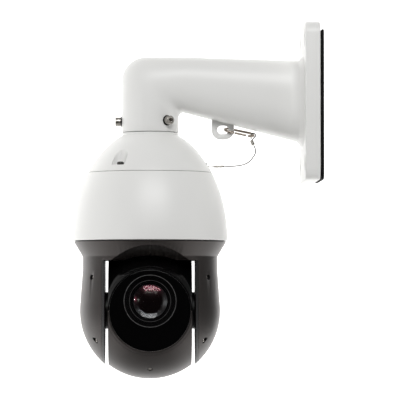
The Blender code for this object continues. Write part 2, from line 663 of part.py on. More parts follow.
def build_pan_drive():
    middle, half = (GEAR_TOP + GEAR_BOTTOM) / 2, (GEAR_TOP - GEAR_BOTTOM) / 2
    gear_r = GEAR_MODULE * PAN_GEAR_TEETH / 2
    half_tooth = math.pi / PAN_GEAR_TEETH
    gear = flat_outline("pan_gear", [gear_outline(PAN_GEAR_TEETH, gear_r, math.pi / 2 + half_tooth),
                                     circle_points(HUB_R + GAP, 24)], half)
    gear.location = (PAN_X, 0, middle)
    piece(gear, "acetal", "pan_pivot")

    pinion = flat_outline("pan_pinion", [gear_outline(PAN_PINION_TEETH,
                                                      GEAR_MODULE * PAN_PINION_TEETH / 2,
                                                      -math.pi / 2)], half)
    pinion.location = (PAN_X, PINION_DISTANCE, middle)
    join(pinion, rod("pinion_shaft", (PAN_X, PINION_DISTANCE, middle),
                     (PAN_X, PINION_DISTANCE, -0.094), 0.0025))
    piece(pinion, "brass", "pinion_pivot")

    piece(turned("turntable", [(HUB_R, -0.096), (HUB_R, -0.1393), (0.0768, -0.1393),
                               (0.0768, CHIN_TOP + GAP), (HUB_BORE_R, CHIN_TOP + GAP),
                               (HUB_BORE_R, -0.096)],
                 (PAN_X, 0, 0), ring=True), "black_plastic", "pan_pivot")
    piece(turned("slip_ring_rotor", [(0, -0.081), (0.006, -0.081), (0.006, -0.0975),
                                     (0.0136, -0.0975), (0.0136, -0.100), (0.006, -0.100),
                                     (0.006, -0.125), (0, -0.125)],
                 (PAN_X, 0, 0), sides=MEDIUM), "black_plastic", "pan_pivot")


def yoke_outline(inset, top):
    """Outline of the chin, cheeks and ball, down the pan axis, made smaller by an inset."""
    slant = inset * math.hypot(1, (CHIN_TOP_R - WAIST_R) / (CHIN_TOP - WAIST_Z))
    rise = (top - CHIN_TOP) * (CHIN_TOP_R - WAIST_R) / (CHIN_TOP - WAIST_Z)
    ball = YOKE_BALL_R - inset
    start = math.asin((CHEEK_Z - TILT_Z) / ball)
    points = [(0, top), (CHIN_TOP_R - slant + rise, top), (WAIST_R - inset, WAIST_Z),
              (WAIST_R - inset, WAIST_END_Z)]
    points += arc_points(ball, start, -math.pi / 2, 9, (0, TILT_Z))[:-1]
    return points + [(0, TILT_Z - ball)]


def arch_cutter(name, half_width):
    """The space in front of the head under the chin: a barrel vault that slopes down and back."""
    spread = math.asin(half_width / ARCH_R)
    vault = arc_points(ARCH_R, math.pi / 2 - spread, math.pi / 2 + spread, 8)
    outline = [(half_width, 0.02), *vault, (-half_width, 0.02)]
    obj = flat_outline(name, [outline], 0.09)
    up = Vector((0, math.sin(ARCH_SLOPE), math.cos(ARCH_SLOPE)))
    forward = Vector((1, 0, 0)).cross(up)
    turn = Matrix((Vector((1, 0, 0)), up, forward)).transposed().to_4x4()
    obj.matrix_world = Matrix.Translation(ARCH_FRONT - up * ARCH_R) @ turn
    return obj


def arm_screw_places():
    """Name, side, Y and Z of every screw that holds a shell to the yoke frame."""
    for side_name, side in (("left", -1), ("right", 1)):
        for face_name, face in (("front", -1), ("rear", 1)):
            for level, height in ARM_SCREW_HEIGHTS.items():
                radius = WAIST_R if level == "upper" else math.sqrt(
                    YOKE_BALL_R ** 2 - (height - TILT_Z) ** 2)
                yield (f"arm_screw_{side_name}_{face_name}_{level}", side,
                       side * radius * math.sin(ARM_SCREW_BEARING),
                       face * radius * math.cos(ARM_SCREW_BEARING), height)


def build_yoke():
    on_axis = (PAN_X, 0, 0)
    hollow = turned("yoke_hollow", yoke_outline(YOKE_WALL, CHIN_TOP + 0.001), on_axis)
    for name, side, x, y, z in arm_screw_places():
        cut(hollow, rod(f"boss_{name}", (PAN_X + side * (BLADE_OUTER_X + GAP), y, z),
                        (PAN_X + side * 0.08, y, z), 0.0043, 10))
    slot_x = ARM_INNER_X + ARM_PLATE_T + GAP
    slot = box("yoke_slot", (PAN_X - slot_x, -0.1, -0.3), (PAN_X + slot_x, 0.1, SLOT_TOP))
    arch = arch_cutter("chin_arch", ARM_INNER_X)
    for side_name, side in (("left", -1), ("right", 1)):
        shell = turned(f"yoke_shell_{side_name}", yoke_outline(0.0, CHIN_TOP), on_axis)
        half_gap = GAP / 2
        other = sorted((PAN_X + side * half_gap, PAN_X - side * 0.1))
        cut(shell, hollow, slot, arch,
            box(f"other_half_{side_name}", (other[0], -0.1, -0.3), (other[1], 0.1, -0.1)))
        for name, screw_side, x, y, z in arm_screw_places():
            if screw_side == side:
                cut(shell, rod(f"recess_{name}", (PAN_X + x - side * 0.003, y, z),
                               (PAN_X + x + side * 0.02, y, z), 0.0028),
                    rod(f"clearance_{name}", (PAN_X + side * 0.045, y, z),
                        (PAN_X + x, y, z), 0.0017, 8))
        piece(shell, "dark_paint", "pan_pivot")

        plate = turned(f"arm_inner_plate_{side_name}", yoke_outline(0.0, CHIN_TOP), on_axis)
        faces = sorted((PAN_X + side * ARM_INNER_X, PAN_X + side * (ARM_INNER_X + ARM_PLATE_T)))
        keep(plate, box(f"plate_slab_{side_name}", (faces[0], -0.1, -0.3),
                        (faces[1], 0.1, SLOT_TOP - GAP)))
        cut(plate, rod(f"plate_hole_{side_name}", (PAN_X + side * 0.04, 0, TILT_Z),
                       (PAN_X + side * 0.06, 0, TILT_Z), BEARING_R + GAP, MEDIUM))
        piece(plate, "black_plastic", "pan_pivot")

    frame = turned("yoke_frame", yoke_outline(YOKE_WALL + GAP, CHIN_TOP), on_axis)
    cut(frame, slot, arch)
    blade_x, outer = BLADE_OUTER_X, 0.09
    for side_name, side in (("left", -1), ("right", 1)):
        faces = sorted((PAN_X + side * blade_x, PAN_X + side * outer))
        cut(frame, box(f"arm_space_{side_name}", (faces[0], -0.1, -0.3), (faces[1], 0.1, -0.166)),
            rod(f"frame_hole_{side_name}", (PAN_X + side * 0.04, 0, TILT_Z),
                (PAN_X + side * 0.06, 0, TILT_Z), BEARING_R + GAP, MEDIUM))
    for name, side, x, y, z in arm_screw_places():
        cut(frame, rod(f"frame_{name}", (PAN_X + side * 0.048, y, z),
                       (PAN_X + side * 0.056, y, z), 0.0015, 8))
    ceiling = turned("head_space", [(0, CEILING_R)]
                     + [(r, h) for h, r in arc_points(CEILING_R, 0, math.pi, 14)][1:-1]
                     + [(0, -CEILING_R)], (PAN_X, 0, TILT_Z), axis="X", sides=28)
    keep(ceiling, box("ceiling_slab", (PAN_X - slot_x, -0.1, -0.3), (PAN_X + slot_x, 0.1, -0.1)))
    cut(frame, ceiling)
    piece(frame, "cast_grey", "pan_pivot")

    for name, side, x, y, z in arm_screw_places():
        seat = PAN_X + x - side * (0.003 - 0.0003)
        screw = rod(name, (seat, y, z), (seat + side * 0.0016, y, z), 0.0024, COARSE)
        join(screw, rod(f"shank_{name}", (PAN_X + side * 0.0499, y, z),
                        (seat + side * 0.0008, y, z), 0.0012, 8))
        piece(screw, "dark_steel", "pan_pivot")


def belt_loop(offset):
    """Outline round both pulleys, in (Y, Z), at an offset from their rims."""
    distance = TILT_MOTOR_Z - TILT_Z
    lean = math.asin((PULLEY_R - MOTOR_PULLEY_R) / distance)
    small = arc_points(MOTOR_PULLEY_R + offset, lean, math.pi - lean, 6, (0, TILT_MOTOR_Z))
    large = arc_points(PULLEY_R + offset, math.pi - lean, 2 * math.pi + lean, 16, (0, TILT_Z))
    return small + large


def build_tilt_drive():
    left = -1
    near, far = PAN_X + left * PULLEY_NEAR_X, PAN_X + left * PULLEY_FAR_X
    motor_near = far + left * GAP
    motor = rod("tilt_motor", (motor_near, 0, TILT_MOTOR_Z), (PAN_X + left * 0.065, 0, TILT_MOTOR_Z),
                0.011, MEDIUM)
    cut(motor, rod("tilt_motor_bore", (near, 0, TILT_MOTOR_Z),
                   (motor_near + left * 0.004, 0, TILT_MOTOR_Z), 0.0026))
    piece(motor, "sheet_steel", "pan_pivot")
    pulley = rod("tilt_motor_pulley", (near, 0, TILT_MOTOR_Z), (far, 0, TILT_MOTOR_Z),
                 MOTOR_PULLEY_R, 16)
    join(pulley, rod("tilt_motor_shaft", (near + left * 0.001, 0, TILT_MOTOR_Z),
                     (motor_near + left * 0.003, 0, TILT_MOTOR_Z), 0.002))
    piece(pulley, "brass", "motor_pulley_pivot")

    belt = flat_outline("tilt_belt", [belt_loop(GAP + BELT_T), belt_loop(GAP)],
                        abs(far - near) / 2 - GAP)
    belt.matrix_world = yz_plane((near + far) / 2)
    piece(belt, "rubber", "pan_pivot")

    pulley = turned("tilt_pulley", [(PULLEY_R, abs(far - near) / 2), (PULLEY_R, -abs(far - near) / 2),
                                    (AXLE_R + GAP, -abs(far - near) / 2),
                                    (AXLE_R + GAP, abs(far - near) / 2)],
                    ((near + far) / 2, 0, TILT_Z), axis="X", sides=24, ring=True)
    piece(pulley, "acetal", "tilt_pivot")

    for side_name, side, end in (("left", -1, 0.0576), ("right", 1, 0.0535)):
        centre = (PAN_X, 0, TILT_Z)
        lengths = (0.0269, 0.0431, 0.0461, end)
        outline = [(0, side * lengths[0]), (AXLE_R, side * lengths[0]), (AXLE_R, side * lengths[1]),
                   (AXLE_BOSS_R, side * lengths[1]), (AXLE_BOSS_R, side * lengths[2]),
                   (AXLE_R, side * lengths[2]), (AXLE_R, side * lengths[3]),
                   (0, side * lengths[3])]
        axle = turned(f"tilt_axle_{side_name}", outline[::-1] if side > 0 else outline, centre,
                      axis="X", sides=MEDIUM)
        cut(axle, rod(f"axle_bore_{side_name}", (PAN_X + side * 0.02, 0, TILT_Z),
                      (PAN_X + side * 0.07, 0, TILT_Z), 0.005))
        piece(axle, "dark_steel", "tilt_pivot")
        middle = PAN_X + side * 0.0496
        ring = [(BEARING_R, 0.0027), (BEARING_R, -0.0027), (AXLE_R + GAP, -0.0027),
                (AXLE_R + GAP, 0.0027)]
        piece(turned(f"tilt_bearing_{side_name}", ring, (middle, 0, TILT_Z), axis="X",
                     sides=MEDIUM, ring=True), "bright_steel", "pan_pivot")


# ---------------------------------------------------------------- head

def ball(name, radius, front):
    """A ball round the tilt centre with a flat front, its poles on the look direction."""
    edge = math.acos(-front / radius)
    arc = arc_points(radius, edge, math.pi, 10)
    points = [(0, -front)] + [(r, h) for h, r in arc][:-1] + [(0, -radius)]
    return turned(name, points, (PAN_X, 0, TILT_Z), axis="Y", sides=FINE)


def build_head_shells():
    cheeks = box("head_cheeks", (PAN_X - HEAD_HALF_X, -0.1, -0.3), (PAN_X + HEAD_HALF_X, 0.1, -0.1))
    hollow = ball("head_hollow", HEAD_R - HEAD_WALL, -0.062)
    inner_x = HEAD_HALF_X - HEAD_WALL
    keep(hollow, box("head_hollow_cheeks", (PAN_X - inner_x, -0.1, -0.3),
                     (PAN_X + inner_x, 0.1, -0.1)))
    axle_hole = rod("head_axle_hole", (PAN_X - 0.06, 0, TILT_Z), (PAN_X + 0.06, 0, TILT_Z),
                    AXLE_R + GAP, MEDIUM)
    half = GAP / 2
    regions = {
        "head_hood": ((-0.1, TILT_Z + half), (-half, -0.1)),
        "head_front_shell": ((-0.1, -0.3), (-half, TILT_Z - half)),
        "head_rear_shell": ((half, -0.3), (0.1, -0.1)),
    }
    finishes = {"head_hood": "gloss_black", "head_front_shell": "dark_paint",
                "head_rear_shell": "dark_paint"}
    outward = Vector((0, -0.037, -0.0596)).normalized()
    centre = Vector((PAN_X, 0, TILT_Z))
    for name, (low, high) in regions.items():
        shell = ball(name, HEAD_R, SHELL_FRONT_Y)
        keep(shell, cheeks)
        cut(shell, hollow, axle_hole)
        keep(shell, box(f"region_{name}", (PAN_X - 0.1, *low), (PAN_X + 0.1, *high)))
        if name == "head_front_shell":
            cut(shell, rod("head_screw_recess", centre + outward * (HEAD_R - 0.0012),
                           centre + outward * (HEAD_R + 0.005), 0.0026),
                rod("head_screw_hole", centre + outward * 0.06, centre + outward * HEAD_R,
                    0.0016, 8))
        piece(shell, finishes[name], "tilt_pivot")
    screw = rod("head_screw", centre + outward * (HEAD_R - 0.0009),
                centre + outward * (HEAD_R - 0.0002), 0.0022, COARSE)
    join(screw, rod("head_screw_shank", centre + outward * (HEAD_R - 0.010),
                    centre + outward * (HEAD_R - 0.0005), 0.0012, 8))
    piece(screw, "dark_steel", "tilt_pivot")

    bezel = ball("window_bezel", HEAD_R, WINDOW_Y)
    keep(bezel, cheeks)
    cut(bezel, box("behind_bezel", (PAN_X - 0.1, BEZEL_BACK_Y, -0.3), (PAN_X + 0.1, 0.1, -0.1)),
        rod("bezel_hole", (PAN_X, -0.07, TILT_Z), (PAN_X, -0.04, TILT_Z), WINDOW_R, FINE))
    piece(bezel, "satin_grey", "tilt_pivot")
    piece(turned("window_glass", [(0, 0.0555), (WINDOW_R - GAP, 0.0555), (WINDOW_R - GAP, 0.0542),
                                  (0, 0.0542)], (PAN_X, 0, TILT_Z), axis="Y"),
          "smoked_glass", "tilt_pivot")


def build_optics():
    on_lens = (PAN_X, 0, LENS_Z)
    piece(turned("lens_barrel",
                 [(0.0263, 0.0530), (0.0271, 0.0530), (0.0271, 0.0470), (0.0240, 0.0450),
                  (0.0240, 0.0085), (0.0150, 0.0085), (0.0150, 0.0380), (0.0190, 0.0380),
                  (0.0190, 0.0440), (0.0220, 0.0460)],
                 on_lens, axis="Y", sides=28, ring=True), "black_plastic", "tilt_pivot")
    dome = [(0.0186 * math.sin(a) / math.sin(0.8), 0.0255 + 0.0190 * math.cos(a)) for a in
            (0.0, 0.2, 0.4, 0.6, 0.8)]
    dome += [(0.0186, 0.0384), (0, 0.0384)]
    piece(turned("front_lens", dome, on_lens, axis="Y", sides=24), "lens_glass", "tilt_pivot")
    for name, back, depth, finish_name in (("zoom_group", 0.0235, 0.006, "lens_glass"),
                                           ("focus_group", 0.0110, 0.005, "lens_glass")):
        front = back + depth
        outline = [(0, front - 0.0008), (0.011, front - 0.0018), (0.011, front), (0.0145, front),
                   (0.0145, back), (0.011, back), (0.011, back + 0.0012), (0, back + 0.0006)]
        piece(turned(name, outline, on_lens, axis="Y", sides=MEDIUM), finish_name, name + "_pivot")

    module = box("camera_module", (PAN_X - 0.0265, -0.0081, TILT_Z - 0.020),
                 (PAN_X + 0.0265, 0.042, TILT_Z + 0.036), 0.002, 1)
    piece(module, "sheet_steel", "tilt_pivot")

    board = turned("ir_board", [(0, 0.051), (0.0395, 0.051), (0.0395, 0.0495), (0, 0.0495)],
                   (PAN_X, 0, TILT_Z), axis="Y")
    cut(board, rod("ir_board_hole", (PAN_X, -0.06, LENS_Z), (PAN_X, -0.04, LENS_Z), 0.0276, 24))
    for i, degrees in enumerate((-56, -28, 0, 28, 56)):
        angle = math.radians(degrees)
        x, z = PAN_X + 0.0315 * math.sin(angle), TILT_Z - 0.0315 * math.cos(angle)
        join(board, rod(f"lamp_{i}", (x, -0.050, z), (x, -0.0529, z), 0.0034, COARSE))
    piece(board, "circuit_board", "tilt_pivot")


def main():
    clear_scene()
    for name, colour, roughness, metallic in (
            ("white_paint", (0.78, 0.78, 0.76), 0.42, 0.0),
            ("dark_paint", (0.055, 0.050, 0.048), 0.45, 0.0),
            ("gloss_black", (0.006, 0.006, 0.006), 0.08, 0.0),
            ("black_plastic", (0.010, 0.010, 0.010), 0.35, 0.0),
            ("satin_grey", (0.16, 0.16, 0.16), 0.30, 0.4),
            ("smoked_glass", (0.004, 0.004, 0.005), 0.03, 0.0),
            ("lens_glass", (0.020, 0.025, 0.030), 0.02, 0.0),
            ("rubber", (0.012, 0.012, 0.012), 0.80, 0.0),
            ("steel", (0.42, 0.41, 0.39), 0.32, 1.0),
            ("bright_steel", (0.62, 0.60, 0.57), 0.22, 1.0),
            ("dark_steel", (0.08, 0.08, 0.08), 0.35, 1.0),
            ("sheet_steel", (0.45, 0.46, 0.47), 0.40, 1.0),
            ("cast_grey", (0.16, 0.16, 0.16), 0.55, 0.3),
            ("brass", (0.60, 0.45, 0.20), 0.30, 1.0),
            ("acetal", (0.75, 0.74, 0.70), 0.45, 0.0),
            ("circuit_board", (0.02, 0.14, 0.07), 0.50, 0.0)):
        finish(name, colour, roughness, metallic)
    for name, location in (
            ("pan_pivot", (PAN_X, 0, 0)),
            ("pinion_pivot", (PAN_X, PINION_DISTANCE, 0)),
            ("motor_pulley_pivot", (PAN_X, 0, TILT_MOTOR_Z)),
            ("tilt_pivot", (PAN_X, 0, TILT_Z)),
            ("zoom_group_pivot", (PAN_X, 0, LENS_Z)),
            ("focus_group_pivot", (PAN_X, 0, LENS_Z)),
            ("gate_pivot", hook_frame()[2])):
        new_pivot(name, location)
    build_wall_arm()
    build_rope()
    build_cap()
    build_housing()
    build_pan_drive()
    build_yoke()
    build_tilt_drive()
    build_head_shells()
    build_optics()


main()
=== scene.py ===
"""Looks of a pan-tilt-zoom dome camera on a cast wall arm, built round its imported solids.

Everything is in metres in the solids' own frame: X = 0 is the wall, +X points into it, -Y is
the side that the camera looks to and +Z is up.
"""
import json
import logging
import math
from dataclasses import dataclass, field
from enum import Enum
from typing import Callable, Iterable, Sequence

import bmesh
import bpy
from mathutils import Matrix, Vector

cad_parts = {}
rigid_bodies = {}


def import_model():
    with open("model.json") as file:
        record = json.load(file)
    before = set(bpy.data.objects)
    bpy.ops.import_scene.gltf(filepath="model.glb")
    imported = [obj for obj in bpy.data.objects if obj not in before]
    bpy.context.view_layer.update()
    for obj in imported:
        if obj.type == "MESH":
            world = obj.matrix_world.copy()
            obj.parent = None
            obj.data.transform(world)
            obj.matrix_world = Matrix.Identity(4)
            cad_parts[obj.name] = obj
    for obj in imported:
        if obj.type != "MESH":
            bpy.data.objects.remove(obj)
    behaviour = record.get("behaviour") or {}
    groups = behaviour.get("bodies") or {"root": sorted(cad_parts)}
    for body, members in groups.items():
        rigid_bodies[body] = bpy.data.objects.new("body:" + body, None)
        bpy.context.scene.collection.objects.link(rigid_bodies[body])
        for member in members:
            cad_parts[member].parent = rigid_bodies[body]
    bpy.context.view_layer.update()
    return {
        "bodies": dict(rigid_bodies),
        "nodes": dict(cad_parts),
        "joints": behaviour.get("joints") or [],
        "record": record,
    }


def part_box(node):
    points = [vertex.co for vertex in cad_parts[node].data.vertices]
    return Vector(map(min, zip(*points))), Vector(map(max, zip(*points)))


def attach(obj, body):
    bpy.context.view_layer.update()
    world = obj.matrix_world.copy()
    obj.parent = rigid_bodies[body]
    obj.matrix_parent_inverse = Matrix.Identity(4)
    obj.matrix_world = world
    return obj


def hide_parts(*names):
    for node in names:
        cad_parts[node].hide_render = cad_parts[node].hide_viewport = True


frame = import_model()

LOG = logging.getLogger("ptz_camera")
FAR, DEEP = 0.1, -0.3           # past the turret on every side, and below everything

Outline = list[tuple[float, float]]
Rows = list[list[Vector]]


class Slot(Enum):
    """The record's material slots that the pieces take their finishes from."""

    WHITE_PAINT = "white_paint"
    DARK_PAINT = "dark_paint"
    GLOSS_BLACK = "gloss_black"
    BLACK_PLASTIC = "black_plastic"
    SATIN_GREY = "satin_grey"
    SMOKED_GLASS = "smoked_glass"
    LENS_GLASS = "lens_glass"
    RUBBER = "rubber"
    STEEL = "steel"
    BRIGHT_STEEL = "bright_steel"
    DARK_STEEL = "dark_steel"
    SHEET_STEEL = "sheet_steel"
    CAST_GREY = "cast_grey"
    BRASS = "brass"
    ACETAL = "acetal"
    CIRCUIT_BOARD = "circuit_board"


class Body(Enum):
    """The bodies that pieces ride on."""

    MOUNT = "mount"
    GATE = "hook_gate"
    TURRET = "turret"
    HEAD = "head"
    ZOOM = "zoom_group"
    FOCUS = "focus_group"


class Axis(Enum):
    """The line that a turned piece is turned round, and the way that its height runs."""

    UP = "Z"
    LOOK = "-Y"
    WALL = "X"


# ------------------------------------------------------------------ datum

@dataclass(frozen=True)
class Datum:
    """The places that every sub-assembly is set out from, read from the solids."""

    pan_x: float
    tilt_z: float
    lens_z: float
    dome_r: float
    rim_z: float
    cap_top: float
    plate_front: float
    plate_back: float
    plate_z: float
    plate_half_y: float
    plate_half_z: float
    head_half_x: float
    arm_inner_x: float

    @classmethod
    def from_frame(cls, loaded: dict) -> "Datum":
        """Read the datum from the loaded frame.


        Returns:
            The datum of this camera.
        """
        joints = {joint["name"]: joint for joint in loaded["joints"]}
        housing_low, housing_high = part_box("dome_housing")
        _, cap_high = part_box("top_cap")
        barrel_low, barrel_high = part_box("lens_barrel")
        arm_low, arm_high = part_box("bracket_arm")
        shell_low, shell_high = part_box("head_rear_shell")
        plate_low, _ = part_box("arm_inner_plate_right")
        pan_x = joints["pan"]["pos_m"][0]
        mounts = {mount["name"]: mount for mount in loaded["record"]["mounts"]}
        return cls(
            pan_x=pan_x,
            tilt_z=joints["tilt"]["pos_m"][2],
            lens_z=(barrel_low.z + barrel_high.z) / 2,
            dome_r=(housing_high.x - housing_low.x) / 2,
            rim_z=housing_low.z,
            cap_top=cap_high.z,
            plate_front=mounts["plate_front"]["pos_m"][0],
            plate_back=arm_high.x,
            plate_z=(arm_high.z + arm_low.z) / 2,
            plate_half_y=(arm_high.y - arm_low.y) / 2,
            plate_half_z=(arm_high.z - arm_low.z) / 2,
            head_half_x=(shell_high.x - shell_low.x) / 2,
            arm_inner_x=plate_low.x - pan_x,
        )

    @property
    def tilt_centre(self) -> Vector:
        """The point where the pan and tilt axes cross."""
        return Vector((self.pan_x, 0.0, self.tilt_z))

    @property
    def lens_centre(self) -> Vector:
        """The lens axis's crossing with the plane of the pan and tilt axes."""
        return Vector((self.pan_x, 0.0, self.lens_z))

    def round_pan(self, radius: float, bearing: float, height: float) -> Vector:
        """A point round the pan axis.

        Args:
            radius: distance from the axis.
            bearing: degrees from the look direction, positive towards the wall.
            height: Z of the point.

        Returns:
            The point.
        """
        angle = math.radians(bearing)
        return Vector((self.pan_x + radius * math.sin(angle), -radius * math.cos(angle), height))


# ------------------------------------------------------------------ finishes

class ShaderBench:
    """A node tree with short calls for adding and joining nodes."""

    def __init__(self, tree: bpy.types.NodeTree) -> None:
        """Keep the tree that nodes are added to."""
        self.tree = tree

    def add(self, kind: str, inputs: dict | None = None, **settings: object) -> bpy.types.Node:
        """Add a node.

        Args:
            kind: the node's type name.
            inputs: socket name or number to a value, or to an output socket to join.
            settings: attributes of the node itself.

        Returns:
            The new node.
        """
        node = self.tree.nodes.new(kind)
        for key, value in settings.items():
            setattr(node, key, value)
        for key, value in (inputs or {}).items():
            if isinstance(value, bpy.types.NodeSocket):
                self.tree.links.new(value, node.inputs[key])
            else:
                node.inputs[key].default_value = value
        return node

    def math(self, operation: str, first: object, second: object = 0.0,
             clamp: bool = False) -> bpy.types.NodeSocket:
        """Join a Math node and return its output.

        Args:
            operation: the node's operation.
            first: value or socket.
            second: value or socket.
            clamp: whether the result stays between 0 and 1.

        Returns:
            The result socket.
        """
        node = self.add("ShaderNodeMath", {0: first, 1: second}, operation=operation,
                        use_clamp=clamp)
        return node.outputs[0]

    def mix(self, share: object, first: object, second: object) -> bpy.types.NodeSocket:
        """Mix two colours and return the result socket.

        Args:
            share: how much of the second colour.
            first: colour or socket.
            second: colour or socket.

        Returns:
            The mixed colour.
        """
        node = self.tree.nodes.new("ShaderNodeMix")
        node.data_type = "RGBA"
        for number, value in ((0, share), (6, first), (7, second)):
            if isinstance(value, bpy.types.NodeSocket):
                self.tree.links.new(value, node.inputs[number])
            else:
                node.inputs[number].default_value = value
        return node.outputs[2]

    def spread(self, value: object, low: float, high: float, to_low: float,
               to_high: float) -> bpy.types.NodeSocket:
        """Map a value from one range to another, clamped.

        Args:
            value: the socket to map.
            low: start of the range that it comes from.
            high: end of that range.
            to_low: start of the new range.
            to_high: end of the new range.

        Returns:
            The mapped value.
        """
        node = self.add("ShaderNodeMapRange", {"Value": value, "From Min": low, "From Max": high,
                                               "To Min": to_low, "To Max": to_high})
        return node.outputs["Result"]

    def group(self, name: str, **inputs: float) -> bpy.types.Node:
        """Place a shared effect.

        Args:
            name: name of the node group.
            inputs: its named values.

        Returns:
            The group node.
        """
        node = self.tree.nodes.new("ShaderNodeGroup")
        node.node_tree = bpy.data.node_groups[name]
        for key, value in inputs.items():
            node.inputs[key.replace("_", " ").title()].default_value = value
        return node


@dataclass(frozen=True)
class SharedEffect:
    """A surface effect that several finishes use, as a node group."""

    name: str
    inputs: tuple[tuple[str, float], ...]
    outputs: tuple[str, ...]
    wiring: Callable[[ShaderBench, bpy.types.Node, bpy.types.Node], None]

    def build(self) -> bpy.types.NodeTree:
        """Make the node group once and return it."""
        tree = bpy.data.node_groups.new(self.name, "ShaderNodeTree")
        for name, default in self.inputs:
            socket = tree.interface.new_socket(name, in_out="INPUT",
                                               socket_type="NodeSocketFloat")
            socket.default_value = default
        for name in self.outputs:
            tree.interface.new_socket(name, in_out="OUTPUT", socket_type="NodeSocketFloat")
        bench = ShaderBench(tree)
        self.wiring(bench, bench.add("NodeGroupInput"), bench.add("NodeGroupOutput"))
        return tree


def wire_grain(bench: ShaderBench, given: bpy.types.Node, result: bpy.types.Node) -> None:
    """Fine moulded or sprayed grain with a slow mottle.

    Args:
        bench: the group's bench.
        given: the group's inputs.
        result: the group's outputs.
    """
    place = bench.add("ShaderNodeTexCoord").outputs["Object"]
    fine = bench.add("ShaderNodeTexNoise", {"Vector": place, "Scale": given.outputs["Scale"],
                                            "Detail": 3.0, "Roughness": 0.6})
    slow = bench.add("ShaderNodeTexNoise", {
        "Vector": place, "Detail": 4.0,
        "Scale": bench.math("MULTIPLY", given.outputs["Scale"], 0.02)})
    bench.tree.links.new(fine.outputs["Fac"], result.inputs["Height"])
    bench.tree.links.new(slow.outputs["Fac"], result.inputs["Mottle"])


def wire_dust(bench: ShaderBench, given: bpy.types.Node, result: bpy.types.Node) -> None:
    """Dust that settles on faces that look up, in a patchy film.

    Args:
        bench: the group's bench.
        given: the group's inputs.
        result: the group's outputs.
    """
    facing = bench.add("ShaderNodeSeparateXYZ",
                       {0: bench.add("ShaderNodeNewGeometry").outputs["Normal"]})
    upward = bench.spread(facing.outputs["Z"], 0.2, 1.0, 0.0, 1.0)
    place = bench.add("ShaderNodeTexCoord").outputs["Object"]
    patch = bench.add("ShaderNodeTexNoise", {"Vector": place, "Scale": 90.0, "Detail": 8.0,
                                             "Roughness": 0.7})
    film = bench.math("MULTIPLY", upward, bench.spread(patch.outputs["Fac"], 0.35, 0.75, 0.1, 1.0))
    mask = bench.math("MULTIPLY", film, given.outputs["Amount"], clamp=True)
    bench.tree.links.new(mask, result.inputs["Mask"])


def wire_wear(bench: ShaderBench, given: bpy.types.Node, result: bpy.types.Node) -> None:
    """Rubbed convex edges, broken up by noise.

    Args:
        bench: the group's bench.
        given: the group's inputs.
        result: the group's outputs.
    """
    point = bench.add("ShaderNodeNewGeometry").outputs["Pointiness"]
    edge = bench.spread(point, 0.52, 0.60, 0.0, 1.0)
    place = bench.add("ShaderNodeTexCoord").outputs["Object"]
    broken = bench.add("ShaderNodeTexNoise", {"Vector": place, "Scale": 420.0, "Detail": 5.0})
    rubbed = bench.math("MULTIPLY", edge, bench.spread(broken.outputs["Fac"], 0.4, 0.6, 0.2, 1.0))
    mask = bench.math("MULTIPLY", rubbed, given.outputs["Amount"], clamp=True)
    bench.tree.links.new(mask, result.inputs["Mask"])


def wire_brushing(bench: ShaderBench, given: bpy.types.Node, result: bpy.types.Node) -> None:
    """Short drawn or turned lines on bare metal.

    Args:
        bench: the group's bench.
        given: the group's inputs.
        result: the group's outputs.
    """
    place = bench.add("ShaderNodeTexCoord").outputs["Object"]
    stretched = bench.add("ShaderNodeVectorMath", {0: place, 1: (0.15, 1.0, 1.0)},
                          operation="MULTIPLY")
    lines = bench.add("ShaderNodeTexNoise", {"Vector": stretched.outputs[0],
                                             "Scale": given.outputs["Scale"], "Detail": 2.0})
    stains = bench.add("ShaderNodeTexNoise", {
        "Vector": place, "Detail": 5.0,
        "Scale": bench.math("MULTIPLY", given.outputs["Scale"], 0.08)})
    bench.tree.links.new(lines.outputs["Fac"], result.inputs["Height"])
    bench.tree.links.new(stains.outputs["Fac"], result.inputs["Stain"])


SHARED_EFFECTS = (
    SharedEffect("surface_grain", (("Scale", 1500.0),), ("Height", "Mottle"), wire_grain),
    SharedEffect("settled_dust", (("Amount", 0.2),), ("Mask",), wire_dust),
    SharedEffect("edge_wear", (("Amount", 0.3),), ("Mask",), wire_wear),
    SharedEffect("brushed_lines", (("Scale", 2500.0),), ("Height", "Stain"), wire_brushing),
)


def new_material(name: str) -> tuple[bpy.types.Material, ShaderBench, bpy.types.Node]:
    """Start a material.

    Args:
        name: the material's name.

    Returns:
        The material, a bench on its nodes and its Principled shader.
    """
    material = bpy.data.materials.new(name)
    material.use_nodes = True
    shader = material.node_tree.nodes["Principled BSDF"]
    return material, ShaderBench(material.node_tree), shader


